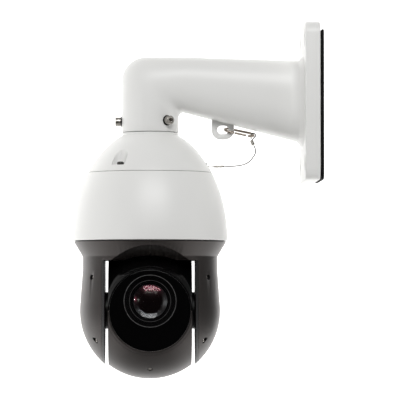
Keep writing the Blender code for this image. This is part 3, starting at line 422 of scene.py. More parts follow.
@dataclass(frozen=True)
class CoatedFinish:
    """Paint, moulded plastic or rubber: a colour with grain, mottle, dust and rubbed edges."""

    colour: tuple[float, float, float]
    roughness: float
    grain_scale: float = 1500.0
    grain_depth: float = 0.00001
    mottle: float = 0.04
    dust: float = 0.15
    wear: float = 0.2
    worn_colour: tuple[float, float, float] = (0.5, 0.5, 0.5)
    coat: float = 0.0
    specular: float = 0.5
    sheen: float = 0.0
    shine: tuple[float, float, float] = (1.0, 1.0, 1.0)

    def build(self, name: str) -> bpy.types.Material:
        """Make the material.

        Args:
            name: its name.

        Returns:
            The material.
        """
        material, bench, shader = new_material(name)
        grain = bench.group("surface_grain", scale=self.grain_scale)
        dust = bench.group("settled_dust", amount=self.dust)
        wear = bench.group("edge_wear", amount=self.wear)
        dark = tuple(c * (1 - self.mottle) for c in self.colour)
        light = tuple(min(c * (1 + self.mottle), 1.0) for c in self.colour)
        base = bench.mix(grain.outputs["Mottle"], (*dark, 1), (*light, 1))
        rubbed = bench.mix(wear.outputs["Mask"], base, (*self.worn_colour, 1))
        dusty = bench.mix(dust.outputs["Mask"], rubbed, (0.55, 0.53, 0.49, 1))
        links = material.node_tree.links
        links.new(dusty, shader.inputs["Base Color"])
        uneven = bench.spread(grain.outputs["Mottle"], 0.2, 0.8, self.roughness * 0.9,
                              min(self.roughness * 1.1, 1.0))
        links.new(bench.math("ADD", uneven, bench.math("MULTIPLY", dust.outputs["Mask"], 0.3),
                             clamp=True), shader.inputs["Roughness"])
        bump = bench.add("ShaderNodeBump", {"Height": grain.outputs["Height"], "Strength": 1.0,
                                            "Distance": self.grain_depth})
        links.new(bump.outputs["Normal"], shader.inputs["Normal"])
        shader.inputs["Specular IOR Level"].default_value = self.specular
        shader.inputs["Specular Tint"].default_value = (*self.shine, 1.0)
        shader.inputs["Coat Weight"].default_value = self.coat
        shader.inputs["Coat Roughness"].default_value = 0.04
        shader.inputs["Sheen Weight"].default_value = self.sheen
        shader.inputs["Sheen Roughness"].default_value = 0.22
        shader.inputs["Sheen Tint"].default_value = (1.0, 0.86, 0.80, 1.0)
        return material


@dataclass(frozen=True)
class MetalFinish:
    """Bare or plated metal with drawn lines and faint stains."""

    colour: tuple[float, float, float]
    roughness: float
    line_scale: float = 2500.0
    line_depth: float = 0.000006

    def build(self, name: str) -> bpy.types.Material:
        """Make the material.

        Args:
            name: its name.

        Returns:
            The material.
        """
        material, bench, shader = new_material(name)
        lines = bench.group("brushed_lines", scale=self.line_scale)
        wear = bench.group("edge_wear", amount=0.5)
        dark = tuple(c * 0.75 for c in self.colour)
        bright = tuple(min(c * 1.3, 1.0) for c in self.colour)
        stained = bench.mix(lines.outputs["Stain"], (*self.colour, 1), (*dark, 1))
        links = material.node_tree.links
        links.new(bench.mix(wear.outputs["Mask"], stained, (*bright, 1)),
                  shader.inputs["Base Color"])
        links.new(bench.spread(lines.outputs["Stain"], 0.3, 0.7, self.roughness * 0.75,
                               self.roughness * 1.35), shader.inputs["Roughness"])
        bump = bench.add("ShaderNodeBump", {"Height": lines.outputs["Height"], "Strength": 1.0,
                                            "Distance": self.line_depth})
        links.new(bump.outputs["Normal"], shader.inputs["Normal"])
        shader.inputs["Metallic"].default_value = 1.0
        return material


@dataclass(frozen=True)
class GlassFinish:
    """Coated or clear optical glass, with a faint film of dust and smears."""

    colour: tuple[float, float, float]
    opacity: float = 1.0
    roughness: float = 0.02
    metallic: float = 0.0
    smear: float = 0.03
    coat: float = 0.3

    def build(self, name: str) -> bpy.types.Material:
        """Make the material.

        Args:
            name: its name.

        Returns:
            The material.
        """
        material, bench, shader = new_material(name)
        grain = bench.group("surface_grain", scale=500.0)
        smear = bench.spread(grain.outputs["Mottle"], 0.45, 0.75, self.roughness,
                             self.roughness + self.smear)
        material.node_tree.links.new(smear, shader.inputs["Roughness"])
        tint = tuple(c * 1.25 for c in self.colour)
        colour = bench.mix(grain.outputs["Mottle"], (*self.colour, 1), (*tint, 1))
        material.node_tree.links.new(colour, shader.inputs["Base Color"])
        shader.inputs["Alpha"].default_value = self.opacity
        shader.inputs["Metallic"].default_value = self.metallic
        shader.inputs["Coat Weight"].default_value = self.coat
        return material


FINISHES: dict[str, CoatedFinish | MetalFinish | GlassFinish] = {
    Slot.WHITE_PAINT.value: CoatedFinish((0.79, 0.79, 0.775), 0.40, 1400.0, 0.000010, 0.012,
                                         0.05, 0.0, (0.80, 0.80, 0.79)),
    Slot.DARK_PAINT.value: CoatedFinish((0.0070, 0.0060, 0.0056), 0.38, 2600.0, 0.000010, 0.10,
                                        0.006, 0.0, (0.05, 0.046, 0.044), 0.0, 0.45, 0.10,
                                        (1.0, 0.90, 0.87)),
    Slot.GLOSS_BLACK.value: CoatedFinish((0.0012, 0.0012, 0.0013), 0.12, 700.0, 0.000001, 0.05,
                                         0.0, 0.02, (0.01, 0.01, 0.01), 0.1, 0.4),
    Slot.BLACK_PLASTIC.value: CoatedFinish((0.0028, 0.0028, 0.0028), 0.40, 2200.0, 0.000008, 0.10,
                                           0.005, 0.10, (0.02, 0.02, 0.02), 0.0, 0.4),
    Slot.SATIN_GREY.value: CoatedFinish((0.060, 0.060, 0.060), 0.28, 2000.0, 0.000004, 0.06,
                                        0.02, 0.3, (0.20, 0.20, 0.20)),
    Slot.SMOKED_GLASS.value: GlassFinish((0.0006, 0.0006, 0.0007), 1.0, 0.02, coat=0.0),
    Slot.LENS_GLASS.value: GlassFinish((0.004, 0.005, 0.007), 0.55, 0.03),
    Slot.RUBBER.value: CoatedFinish((0.003, 0.003, 0.003), 0.72, 900.0, 0.000030, 0.15, 0.005,
                                    0.10, (0.01, 0.01, 0.01), 0.0, 0.15),
    Slot.STEEL.value: MetalFinish((0.42, 0.40, 0.37), 0.30),
    Slot.BRIGHT_STEEL.value: MetalFinish((0.60, 0.56, 0.52), 0.22, 3500.0),
    Slot.DARK_STEEL.value: MetalFinish((0.09, 0.088, 0.085), 0.34),
    Slot.SHEET_STEEL.value: MetalFinish((0.48, 0.49, 0.50), 0.38, 1800.0),
    Slot.CAST_GREY.value: CoatedFinish((0.14, 0.14, 0.14), 0.55, 1100.0, 0.000040, 0.12, 0.10,
                                       0.3, (0.30, 0.30, 0.30)),
    Slot.BRASS.value: MetalFinish((0.62, 0.46, 0.20), 0.28),
    Slot.ACETAL.value: CoatedFinish((0.70, 0.69, 0.64), 0.42, 1600.0, 0.000006, 0.04),
    Slot.CIRCUIT_BOARD.value: CoatedFinish((0.015, 0.10, 0.045), 0.40, 1500.0, 0.000020, 0.35),
    # Near-black: the real black baffles inside the lens barrel, and also painted shade on the
    # turret's screw-recess walls and round the head's lower screw.
    "baffle_black": CoatedFinish((0.0003, 0.0003, 0.0003), 0.50, 1500.0, 0.000010, 0.1, 0.0, 0.0,
                                 (0.01, 0.01, 0.01), 0.0, 0.08),
    "wire_rope": MetalFinish((0.20, 0.19, 0.18), 0.42, 3000.0),
    "hook_steel": MetalFinish((0.42, 0.36, 0.31), 0.30, 3000.0),
    "clear_pane": GlassFinish((0.010, 0.010, 0.012), 0.04, 0.01, 0.0, 0.01, 0.0),
    "rose_coating": GlassFinish((0.075, 0.021, 0.029), 0.45, 0.17, 1.0, 0.0, 0.6),
    "green_coating": GlassFinish((0.22, 0.27, 0.235), 0.50, 0.15, 1.0, 0.0, 0.8),
    "blue_coating": GlassFinish((0.44, 0.45, 0.46), 1.0, 0.27, 1.0, 0.05, 0.0),
    "pupil": GlassFinish((0.020, 0.022, 0.030), 1.0, 0.05, 0.0, 0.02, 1.0),
}


class PaintShop:
    """Makes each finish once and puts it on pieces."""

    def __init__(self) -> None:
        """Build the shared effects and start with no materials."""
        for effect in SHARED_EFFECTS:
            effect.build()
        self.materials: dict[str, bpy.types.Material] = {}

    def finish(self, name: str) -> bpy.types.Material:
        """The material of a named finish, made on its first use."""
        if name not in self.materials:
            self.materials[name] = FINISHES[name].build(name)
        return self.materials[name]

    def coat(self, piece: bpy.types.Object, name: str) -> None:
        """Give a piece one finish all over.

        Args:
            piece: the piece.
            name: the finish's name.
        """
        piece.data.materials.clear()
        piece.data.materials.append(self.finish(name))


# ------------------------------------------------------------------ mesh work

def mesh_object(name: str, vertices: Iterable[Vector], faces: Iterable[Sequence[int]],
                merge: float = 1e-6) -> bpy.types.Object:
    """A mesh object with outward faces.

    Args:
        name: the object's name.
        vertices: its points.
        faces: its faces, as indices of points.
        merge: distance under which points are one.

    Returns:
        The object, linked to the scene.
    """
    mesh = bpy.data.meshes.new(name)
    mesh.from_pydata(list(vertices), [], list(faces))
    bm = bmesh.new()
    bm.from_mesh(mesh)
    bmesh.ops.remove_doubles(bm, verts=bm.verts, dist=merge)
    bmesh.ops.dissolve_degenerate(bm, edges=bm.edges, dist=merge)
    bmesh.ops.recalc_face_normals(bm, faces=bm.faces)
    bm.to_mesh(mesh)
    bm.free()
    obj = bpy.data.objects.new(name, mesh)
    bpy.context.scene.collection.objects.link(obj)
    return obj


def loft(name: str, rows: Rows, closed: bool = False, capped: bool = True) -> bpy.types.Object:
    """Skin a list of rings that have the same number of points.

    Args:
        name: the object's name.
        rows: the rings.
        closed: whether the last ring joins the first.
        capped: whether the end rings are filled.

    Returns:
        The object.
    """
    sides = len(rows[0])
    vertices = [point for row in rows for point in row]
    faces: list[Sequence[int]] = []
    for r in range(len(rows) if closed else len(rows) - 1):
        a, b = r * sides, ((r + 1) % len(rows)) * sides
        faces += [(a + i, a + (i + 1) % sides, b + (i + 1) % sides, b + i) for i in range(sides)]
    if capped and not closed:
        faces += [tuple(range(sides)), tuple(range(len(vertices) - sides, len(vertices)))]
    return mesh_object(name, vertices, faces)


def filleted(corners: Sequence[tuple[float, float, float]], steps: int = 5) -> Outline:
    """An outline with its corners rounded.

    Args:
        corners: (radius, height, fillet radius) of each corner, in order.
        steps: points on each fillet.

    Returns:
        The outline's points. The first and last corners stay as they are.
    """
    points: Outline = [corners[0][:2]]
    for (ax, ay, _), (bx, by, fillet), (cx, cy, _) in zip(corners, corners[1:], corners[2:]):
        here, back, on = Vector((bx, by)), Vector((ax - bx, ay - by)), Vector((cx - bx, cy - by))
        if fillet <= 0 or back.length < 1e-9 or on.length < 1e-9:
            points.append((bx, by))
            continue
        half = back.angle(on) / 2
        run = min(fillet / math.tan(half), back.length * 0.49, on.length * 0.49)
        start, end = here + back.normalized() * run, here + on.normalized() * run
        for i in range(steps + 1):
            t = i / steps
            point = start * (1 - t) ** 2 + here * 2 * t * (1 - t) + end * t * t
            points.append((point.x, point.y))
    points.append(corners[-1][:2])
    return points


def turned(name: str, outline: Outline, centre: Vector, axis: Axis = Axis.UP,
           segments: int = 128, ring: bool = False) -> bpy.types.Object:
    """Turn an outline of (radius, height) points round an axis.

    Args:
        name: the object's name.
        outline: the points, in order.
        centre: where the axis has height zero.
        axis: the way that the height runs.
        segments: sides of the turned piece.
        ring: whether the outline is a closed loop off the axis.

    Returns:
        The object.
    """
    frames = {Axis.UP: ((1, 0, 0), (0, 1, 0), (0, 0, 1)),
              Axis.LOOK: ((1, 0, 0), (0, 0, 1), (0, -1, 0)),
              Axis.WALL: ((0, 1, 0), (0, 0, 1), (1, 0, 0))}
    across, over, along = (Vector(v) for v in frames[axis])
    rows: Rows = []
    for radius, height in outline:
        rows.append([centre + across * (radius * math.cos(2 * math.pi * i / segments))
                     + over * (radius * math.sin(2 * math.pi * i / segments))
                     + along * height for i in range(segments)])
    return loft(name, rows, closed=ring, capped=False)


def rod(name: str, start: Vector, end: Vector, radius: float, edge: float = 0.0,
        segments: int = 48) -> bpy.types.Object:
    """A round rod between two points with rounded ends.

    Args:
        name: the object's name.
        start: centre of one end.
        end: centre of the other end.
        radius: the rod's radius.
        edge: radius of the rounding of its ends.
        segments: sides.

    Returns:
        The object.
    """
    along = (end - start).normalized()
    across = along.orthogonal().normalized()
    over = along.cross(across)
    length = (end - start).length
    outline = filleted([(0, 0, 0), (radius, 0, edge), (radius, length, edge), (0, length, 0)])
    rows = [[start + along * h + (across * math.cos(2 * math.pi * i / segments)
                                  + over * math.sin(2 * math.pi * i / segments)) * r
             for i in range(segments)] for r, h in outline]
    return loft(name, rows, capped=False)


def rounded_rectangle(half_x: float, half_y: float, corner: float, steps: int = 8) -> Outline:
    """A rectangle with round corners, anticlockwise, about the origin.

    Args:
        half_x: half its width.
        half_y: half its height.
        corner: radius of its corners.
        steps: intervals on each corner.

    Returns:
        The outline.
    """
    points: Outline = []
    for quarter, (sx, sy) in enumerate(((1, 1), (-1, 1), (-1, -1), (1, -1))):
        for i in range(steps + 1):
            angle = (quarter + i / steps) * math.pi / 2
            points.append((sx * (half_x - corner) + corner * math.cos(angle),
                           sy * (half_y - corner) + corner * math.sin(angle)))
    return points


def slab(name: str, half_y: float, half_z: float, corner: float, near: float, far: float,
         edge: float, height: float = 0.0) -> bpy.types.Object:
    """A flat plate across X with round corners and rounded edges.

    Args:
        name: the object's name.
        half_y: half its width.
        half_z: half its height.
        corner: radius of its four corners.
        near: X of its front.
        far: X of its back.
        edge: radius of its edges.
        height: Z of its middle.

    Returns:
        The object.
    """
    stations = [(near + edge * (1 - math.sin(a)), edge * (1 - math.cos(a)))
                for a in (math.pi / 2 * (1 - i / 5) for i in range(6))]
    stations += [(near + far - x, inset) for x, inset in reversed(stations)]
    rows = [[Vector((x, y, z + height)) for y, z in rounded_rectangle(
        half_y - inset, half_z - inset, corner - inset)] for x, inset in stations]
    return loft(name, rows)


def box(name: str, low: Sequence[float], high: Sequence[float]) -> bpy.types.Object:
    """A sharp box between two corners, for cutting.

    Args:
        name: the object's name.
        low: its lowest corner.
        high: its highest corner.

    Returns:
        The object.
    """
    corners = [[Vector((x, y, z)) for x, y in ((low[0], low[1]), (high[0], low[1]),
                                               (high[0], high[1]), (low[0], high[1]))]
               for z in (low[2], high[2])]
    return loft(name, corners)


def tube(name: str, route: Sequence[Vector], radius: Callable[[float, float], float],
         sides: int = 16) -> bpy.types.Object:
    """A tube along a route, with a radius that may change round it and along it.

    Args:
        name: the object's name.
        route: the centreline.
        radius: from (share of the route, angle round it) to a radius.
        sides: points round the tube.

    Returns:
        The object.
    """
    rows: Rows = []
    normal = (route[1] - route[0]).orthogonal().normalized()
    for index, point in enumerate(route):
        before, after = route[max(index - 1, 0)], route[min(index + 1, len(route) - 1)]
        along = (after - before).normalized()
        normal = (normal - along * normal.dot(along)).normalized()
        other = along.cross(normal)
        share = index / (len(route) - 1)
        row = []
        for i in range(sides):
            angle = 2 * math.pi * i / sides
            row.append(point + (normal * math.cos(angle) + other * math.sin(angle))
                       * radius(share, angle))
        rows.append(row)
    return loft(name, rows)


def smooth_route(points: Sequence[Vector], spacing: float) -> list[Vector]:
    """Points at an even spacing on a Catmull-Rom curve through the given points.

    Args:
        points: the points that the curve goes through.
        spacing: about how far apart the result's points are.

    Returns:
        The route.
    """
    ends = [points[0] * 2 - points[1], *points, points[-1] * 2 - points[-2]]
    fine = []
    for a, b, c, d in zip(ends, ends[1:], ends[2:], ends[3:]):
        for i in range(20):
            t = i / 20
            fine.append(0.5 * (2 * b + (c - a) * t + (2 * a - 5 * b + 4 * c - d) * t * t
                               + (3 * b - a - 3 * c + d) * t ** 3))
    fine.append(points[-1])
    length = sum((q - p).length for p, q in zip(fine, fine[1:]))
    count = max(round(length / spacing), 2)
    route, walked, piece = [fine[0]], 0.0, length / count
    for p, q in zip(fine, fine[1:]):
        walked += (q - p).length
        if walked >= piece * len(route) and len(route) < count:
            route.append(q)
    return route + [fine[-1]]


def carve(target: bpy.types.Object, operation: str,
          *tools: bpy.types.Object) -> bpy.types.Object:
    """Apply boolean steps to a piece and remove the tools.

    Args:
        target: the piece.
        operation: DIFFERENCE, UNION or INTERSECT.
        tools: the shapes to cut, join or keep.

    Returns:
        The piece.
    """
    for tool in tools:
        step = target.modifiers.new(tool.name, "BOOLEAN")
        step.operation = operation
        step.object = tool
        step.solver = "EXACT"
        bake(target)
        bpy.data.objects.remove(tool, do_unlink=True)
    return target


def bake(piece: bpy.types.Object) -> bpy.types.Object:
    """Apply every modifier of a piece to its mesh.

    Args:
        piece: the piece.

    Returns:
        The piece.
    """
    bpy.context.view_layer.update()
    evaluated = piece.evaluated_get(bpy.context.evaluated_depsgraph_get())
    mesh = bpy.data.meshes.new_from_object(evaluated)
    piece.modifiers.clear()
    piece.data = mesh
    return piece


def copy_of(piece: bpy.types.Object, name: str) -> bpy.types.Object:
    """A second object with its own copy of a piece's mesh.

    Args:
        piece: the piece.
        name: the new object's name.

    Returns:
        The new object.
    """
    other = bpy.data.objects.new(name, piece.data.copy())
    bpy.context.scene.collection.objects.link(other)
    return other


def soften(piece: bpy.types.Object, width: float, angle: float = 40.0,
           segments: int = 3) -> bpy.types.Object:
    """Round the sharp edges of a carved piece.

    Args:
        piece: the piece.
        width: the rounding's width.
        angle: edges sharper than this are rounded, in degrees.
        segments: steps across the rounding.

    Returns:
        The piece.
    """
    bm = bmesh.new()
    bm.from_mesh(piece.data)
    bmesh.ops.remove_doubles(bm, verts=bm.verts, dist=width * 0.1)
    bmesh.ops.dissolve_degenerate(bm, edges=bm.edges, dist=width * 0.05)
    bm.to_mesh(piece.data)
    bm.free()
    rounding = piece.modifiers.new("rounding", "BEVEL")
    rounding.width = width
    rounding.segments = segments
    rounding.limit_method = "ANGLE"
    rounding.angle_limit = math.radians(angle)
    rounding.use_clamp_overlap = True
    rounding.harden_normals = True
    return bake(piece)


# ------------------------------------------------------------------ assemblies

@dataclass
class Assembly:
    """Common bench work of a sub-assembly."""

    datum: Datum
    paint: PaintShop

    def fit(self, piece: bpy.types.Object, slot: Slot, body: Body, *nodes: str,
            finish: str | None = None, sharp: float = 35.0) -> bpy.types.Object:
        """Finish a piece, hang it on its body and report it.

        Args:
            piece: the piece.
            slot: the record's material slot.
            body: the body that it rides on.
            nodes: the solids that it stands for.
            finish: a finish other than the slot's own.
            sharp: edges sharper than this stay sharp, in degrees.

        Returns:
            The piece.
        """
        piece.data.shade_smooth()
        piece.data.set_sharp_from_angle(angle=math.radians(sharp))
        self.paint.coat(piece, finish or slot.value)
        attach(piece, body.value)
        if nodes:
            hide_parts(*nodes)
        LOG.info("%s on %s in %s", piece.name, body.value, finish or slot.value)
        return piece


@dataclass
class WallArm(Assembly):
    """The cast plate, arm and neck with their gasket and the screws that lock the dome."""

    neck_r: float = 0.0294
    bore_r: float = 0.0264
    neck_bottom: float = -0.0321
    elbow_x: float = -0.142
    elbow_z: float = -0.0171
    elbow_inner: float = 0.0056
    elbow_top: float = 0.0458
    elbow_outer_r: float = 0.025
    top_at_plate: float = 0.0418
    bottom_slope: float = 0.2549
    half_depth_at_plate: float = 0.037
    plate_fillet: float = 0.005
    bolt_y: float = 0.047
    bolt_z: float = 0.064
    bolt_r: float = 0.0045
    boss_r: float = 0.0097
    rim: float = 0.004
    skin: float = 0.0045
    neck_screws: dict[str, tuple[float, float]] = field(default_factory=lambda: {
        "left": (-90.0, -0.0209), "front": (36.0, -0.0208), "rear": (150.0, -0.0195)})
    sides: int = 96

    @property
    def bolts(self) -> list[tuple[float, float]]:
        """Y and Z of the wall bolts' holes."""
        return [(y * self.bolt_y, self.datum.plate_z + z * self.bolt_z)
                for y in (-1, 1) for z in (-1, 1)]

    def bottom(self, x: float) -> float:
        """Height of the arm's underside.

        Args:
            x: the station along the arm.

        Returns:
            The height.
        """
        return self.elbow_z + self.elbow_inner - self.bottom_slope * (x - self.elbow_x)

    def top(self, x: float) -> float:
        """Height of the arm's top.

        Args:
            x: the station along the arm.

        Returns:
            The height.
        """
        share = (x - self.elbow_x) / (self.datum.plate_front - self.elbow_x)
        return self.elbow_top + (self.top_at_plate - self.elbow_top) * max(share, 0.0)

    def reach(self, angle: float) -> float:
        """Distance from the elbow's pivot to its outer outline.

        Args:
            angle: direction above the horizontal, away from the wall.

        Returns:
            The distance.
        """
        left = self.datum.pan_x - self.neck_r
        to_side = (self.elbow_x - left) / max(math.cos(angle), 1e-6)
        to_top = (self.elbow_top - self.elbow_z) / max(math.sin(angle), 1e-6)
        corner = Vector((left + self.elbow_outer_r - self.elbow_x,
                         self.elbow_top - self.elbow_outer_r - self.elbow_z))
        if to_side * math.sin(angle) <= corner.y:
            return to_side
        if -to_top * math.cos(angle) >= corner.x:
            return to_top
        along = Vector((-math.cos(angle), math.sin(angle))).dot(corner)
        return along + math.sqrt(along ** 2 - corner.length_squared + self.elbow_outer_r ** 2)

    def section(self, inner: Vector, outer: Vector, half_depth: float,
                power: float) -> list[Vector]:
        """A rounded section between two points of the arm's middle plane.

        Args:
            inner: the point on the inside of the bend.
            outer: the point on the outside of the bend.
            half_depth: half the section's depth in Y.
            power: 2 for an ellipse, more for a squarer section.

        Returns:
            The section's points.
        """
        middle, half = (inner + outer) / 2, (outer - inner) / 2
        ring = []
        for i in range(self.sides):
            c, s = math.cos(2 * math.pi * i / self.sides), math.sin(2 * math.pi * i / self.sides)
            ring.append(middle + half * math.copysign(abs(c) ** (2 / power), c) + Vector(
                (0, half_depth * math.copysign(abs(s) ** (2 / power), s), 0)))
        return ring

    def sweep(self, inset: float, bottom: float, end_x: float, flare: float) -> Rows:
        """Sections from the neck's bottom to the plate.

        Args:
            inset: how far inside the outer skin they lie.
            bottom: Z of the first section.
            end_x: X of the last section.
            flare: how far the last sections spread into the plate.

        Returns:
            The sections.
        """
        pan_x, wall = self.datum.pan_x, self.datum.plate_front
        rows = [self.section(Vector((pan_x + self.neck_r - inset, 0, z)),
                             Vector((pan_x - self.neck_r + inset, 0, z)),
                             self.neck_r - inset, 2.0)
                for z in (bottom, (bottom + self.elbow_z) / 2, self.elbow_z)]
        pivot, bend_steps = Vector((self.elbow_x, 0, self.elbow_z)), 40
        for i in range(1, bend_steps + 1):
            angle = math.pi / 2 * i / bend_steps
            ray = Vector((-math.cos(angle), 0, math.sin(angle)))
            rows.append(self.section(pivot + ray * (self.elbow_inner + inset),
                                     pivot + ray * (self.reach(angle) - inset),
                                     self.neck_r - inset, 2.0 + 0.5 * (i / bend_steps) ** 2))
        straight = [(self.elbow_x + (wall - self.plate_fillet - self.elbow_x) * i / 12, 0.0)
                    for i in range(1, 13)]
        fillet = [(wall - self.plate_fillet * math.cos(math.pi / 2 * i / 8),
                   flare * (1 - math.sin(math.pi / 2 * (1 - i / 8)))) for i in range(1, 9)]
        for x, growth in straight + fillet + [(end_x, flare)]:
            station = min(x, wall)
            share = (station - self.elbow_x) / (wall - self.elbow_x)
            depth = self.neck_r + (self.half_depth_at_plate - self.neck_r) * share
            rows.append(self.section(Vector((x, 0, self.bottom(station) + inset - growth)),
                                     Vector((x, 0, self.top(station) - inset + growth)),
                                     depth - inset + growth, 2.5 + 0.5 * share))
        return rows

    def build_casting(self) -> None:
        """The arm, its plate and its rope lug, in one white casting."""
        wall = self.neck_r - self.bore_r
        outer = self.sweep(0.0, self.neck_bottom + 0.0008, self.datum.plate_front + 0.002,
                           self.plate_fillet)
        inner = self.sweep(wall, self.neck_bottom + 0.0005, self.datum.plate_front + 0.002, 0.0)
        lip = []
        for i in range(5):
            angle = math.pi / 2 * i / 4
            inset = 0.0008 * (1 - math.sin(angle))
            z = self.neck_bottom + 0.0008 * (1 - math.cos(angle))
            lip.append(self.section(Vector((self.datum.pan_x + self.neck_r - inset, 0, z)),
                                    Vector((self.datum.pan_x - self.neck_r + inset, 0, z)),
                                    self.neck_r - inset, 2.0))
        arm = loft("arm_casting", lip + outer[1:] + inner[::-1], closed=True)
        for name, (bearing, height) in self.neck_screws.items():
            carve(arm, "DIFFERENCE", rod("hole", self.datum.round_pan(0.020, bearing, height),
                                         self.datum.round_pan(0.040, bearing, height), 0.0029))
        self.fit(arm, Slot.WHITE_PAINT, Body.MOUNT, "bracket_arm", sharp=50.0)

        plate = slab("wall_plate", self.datum.plate_half_y, self.datum.plate_half_z, 0.012,
                     self.datum.plate_front, self.datum.plate_back, 0.0013, self.datum.plate_z)
        pocket = slab("pocket", self.datum.plate_half_y - self.rim, self.datum.plate_half_z
                      - self.rim, 0.008, self.datum.plate_front + self.skin,
                      self.datum.plate_back + 0.004, 0.001, self.datum.plate_z)
        for y, z in self.bolts:
            carve(pocket, "DIFFERENCE", rod("boss", Vector((-0.03, y, z)),
                                            Vector((0.01, y, z)), self.boss_r))
        duct = loft("duct", [[Vector((x, p.y, p.z)) for p in inner[-1]] for x in (-0.04, 0.01)])
        carve(plate, "DIFFERENCE", pocket, duct)
        for y, z in self.bolts:
            carve(plate, "DIFFERENCE",
                  rod("hole", Vector((-0.04, y, z)), Vector((0.01, y, z)), self.bolt_r),
                  rod("face", Vector((-0.04, y, z)),
                      Vector((self.datum.plate_front + 0.0005, y, z)), self.bolt_r * 2.0))
        self.fit(plate, Slot.WHITE_PAINT, Body.MOUNT)
        self.build_lug()

    def build_lug(self) -> None:
        """The D-shaped eye under the arm that the rope's hook holds."""
        centre_x, half_x, hole_z, low = -0.10175, 0.01155, -0.0293, -0.0393
        corner = 0.0095
        outer = [(centre_x + half_x, -0.010), (centre_x - half_x, -0.010)]
        outer += [(centre_x - half_x + corner + corner * math.cos(a),
                   low + corner + corner * math.sin(a))
                  for a in (math.pi + math.pi / 2 * i / 10 for i in range(11))]
        outer += [(centre_x + half_x - corner + corner * math.cos(a),
                   low + corner + corner * math.sin(a))
                  for a in (1.5 * math.pi + math.pi / 2 * i / 10 for i in range(11))]
        lug = loft("rope_lug", [[Vector((x, y, z)) for x, z in outer] for y in (-0.003, 0.003)])
        hole = [(centre_x + x, hole_z + z) for x, z in rounded_rectangle(0.0059, 0.0044, 0.0043)]
        carve(lug, "DIFFERENCE",
              loft("eye", [[Vector((x, y, z)) for x, z in hole] for y in (-0.01, 0.01)]))
        soften(lug, 0.0009, 50.0)
        self.fit(lug, Slot.WHITE_PAINT, Body.MOUNT)

    def build_gasket(self) -> None:
        """The loose rubber gasket, whose edges have been squeezed into soft lumps."""
        low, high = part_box("wall_gasket")
        middle = (low.z + high.z) / 2
        thickness = high.x - low.x
        outline = rounded_rectangle(high.y - 0.0012, high.z - middle - 0.0012, 0.006, 4)
        dense: Outline = []
        for (ay, az), (by, bz) in zip(outline, outline[1:] + outline[:1]):
            count = max(round(math.hypot(by - ay, bz - az) / 0.0015), 1)
            dense += [(ay + (by - ay) * i / count, az + (bz - az) * i / count)
                      for i in range(count)]
        rows: Rows = [[] for _ in range(9)]
        for y, z in dense:
            lump = (0.5 + 0.5 * math.sin(z * 210.0 + 1.3 * math.sin(z * 95.0))) * abs(z) / 0.078
            bulge = 0.0002 + 0.0009 * lump
            front = low.x + thickness * (0.06 + 0.34 * (0.5 + 0.5 * math.sin(z * 130.0 + y * 40.0))
                                         * min(abs(z) / 0.06, 1.0))
            out = Vector((y, z)).normalized()
            for row, i in zip(rows, range(9)):
                turn = math.pi * i / 8
                row.append(Vector((front + (high.x - front) * (1 - math.cos(turn)) / 2,
                                   y + out.x * bulge * math.sin(turn),
                                   middle + z + out.y * bulge * math.sin(turn))))
        gasket = loft("rubber_gasket", rows)
        window = loft("window", [[Vector((x, y, z)) for y, z in rounded_rectangle(
            0.026, 0.030, 0.004)] for x in (-0.01, 0.01)])
        carve(gasket, "DIFFERENCE", window)
        for y, z in self.bolts:
            carve(gasket, "DIFFERENCE", rod("hole", Vector((-0.03, y, z)),
                                            Vector((0.01, y, z)), self.bolt_r))
        self.fit(gasket, Slot.RUBBER, Body.MOUNT, "wall_gasket")

    def build_neck_screws(self) -> None:
        """Socket cap screws, each with a knurled head and a dished hexagon socket."""
        for name, (bearing, height) in self.neck_screws.items():
            tip, seat, crown = (self.datum.round_pan(r, bearing, height)
                                for r in (0.0235, 0.0303, 0.0360))
            along = (crown - seat).normalized()
            screw = rod(f"lock_screw_{name}", seat, crown, 0.0045, 0.0006, 72)
            for vertex in screw.data.vertices:
                local = vertex.co - seat
                height_in_head = local.dot(along)
                radial = local - along * height_in_head
                if radial.length > 0.0044 and 0.0008 < height_in_head < 0.0049:
                    vertex.co -= radial.normalized() * 0.00012
            carve(screw, "UNION", rod("shank", tip, seat + along * 0.001, 0.0025, 0.0003))
            across = along.orthogonal().normalized()
            carve(screw, "DIFFERENCE", hexagon(crown, along, across, 0.0024, (-0.0028, 0.001)))
            soften(screw, 0.00015, 50.0, 2)
            self.fit(screw, Slot.STEEL, Body.MOUNT, f"neck_screw_{name}")
            washer = turned_washer(f"lock_washer_{name}", seat - along * 0.0008, along,
                                   0.0029, 0.0053, 0.0007)
            self.fit(washer, Slot.RUBBER, Body.MOUNT)

    def build(self) -> None:
        """Build and dress the whole wall arm."""
        self.build_casting()
        self.build_gasket()
        self.build_neck_screws()


def turned_washer(name: str, start: Vector, along: Vector, inner: float, outer: float,
                  thickness: float) -> bpy.types.Object:
    """A plain washer.

    Args:
        name: the object's name.
        start: centre of its first face.
        along: direction of its axis.
        inner: radius of its hole.
        outer: its outside radius.
        thickness: its thickness.

    Returns:
        The object.
    """
    across = along.orthogonal().normalized()
    over = along.cross(across)
    edge = thickness * 0.25
    outline = [(inner, 0.0), (outer - edge, 0.0), (outer, edge), (outer, thickness - edge),
               (outer - edge, thickness), (inner, thickness)]
    rows = [[start + along * h + (across * math.cos(math.pi * i / 24)
                                  + over * math.sin(math.pi * i / 24)) * r
             for i in range(48)] for r, h in outline]
    return loft(name, rows, closed=True)


def hexagon(centre: Vector, along: Vector, across: Vector, radius: float,
            span: tuple[float, float]) -> bpy.types.Object:
    """A hexagon socket's shape, as a cutter.

    Args:
        centre: the point that the span is measured from.
        along: direction of the screw's axis.
        across: direction of one corner.
        radius: distance of the corners from the axis.
        span: where it starts and ends along the axis.

    Returns:
        The cutter.
    """
    over = along.cross(across)
    return loft("socket", [[centre + along * h + (across * math.cos(math.pi / 3 * i)
                                                  + over * math.sin(math.pi / 3 * i)) * radius
                            for i in range(6)] for h in span])


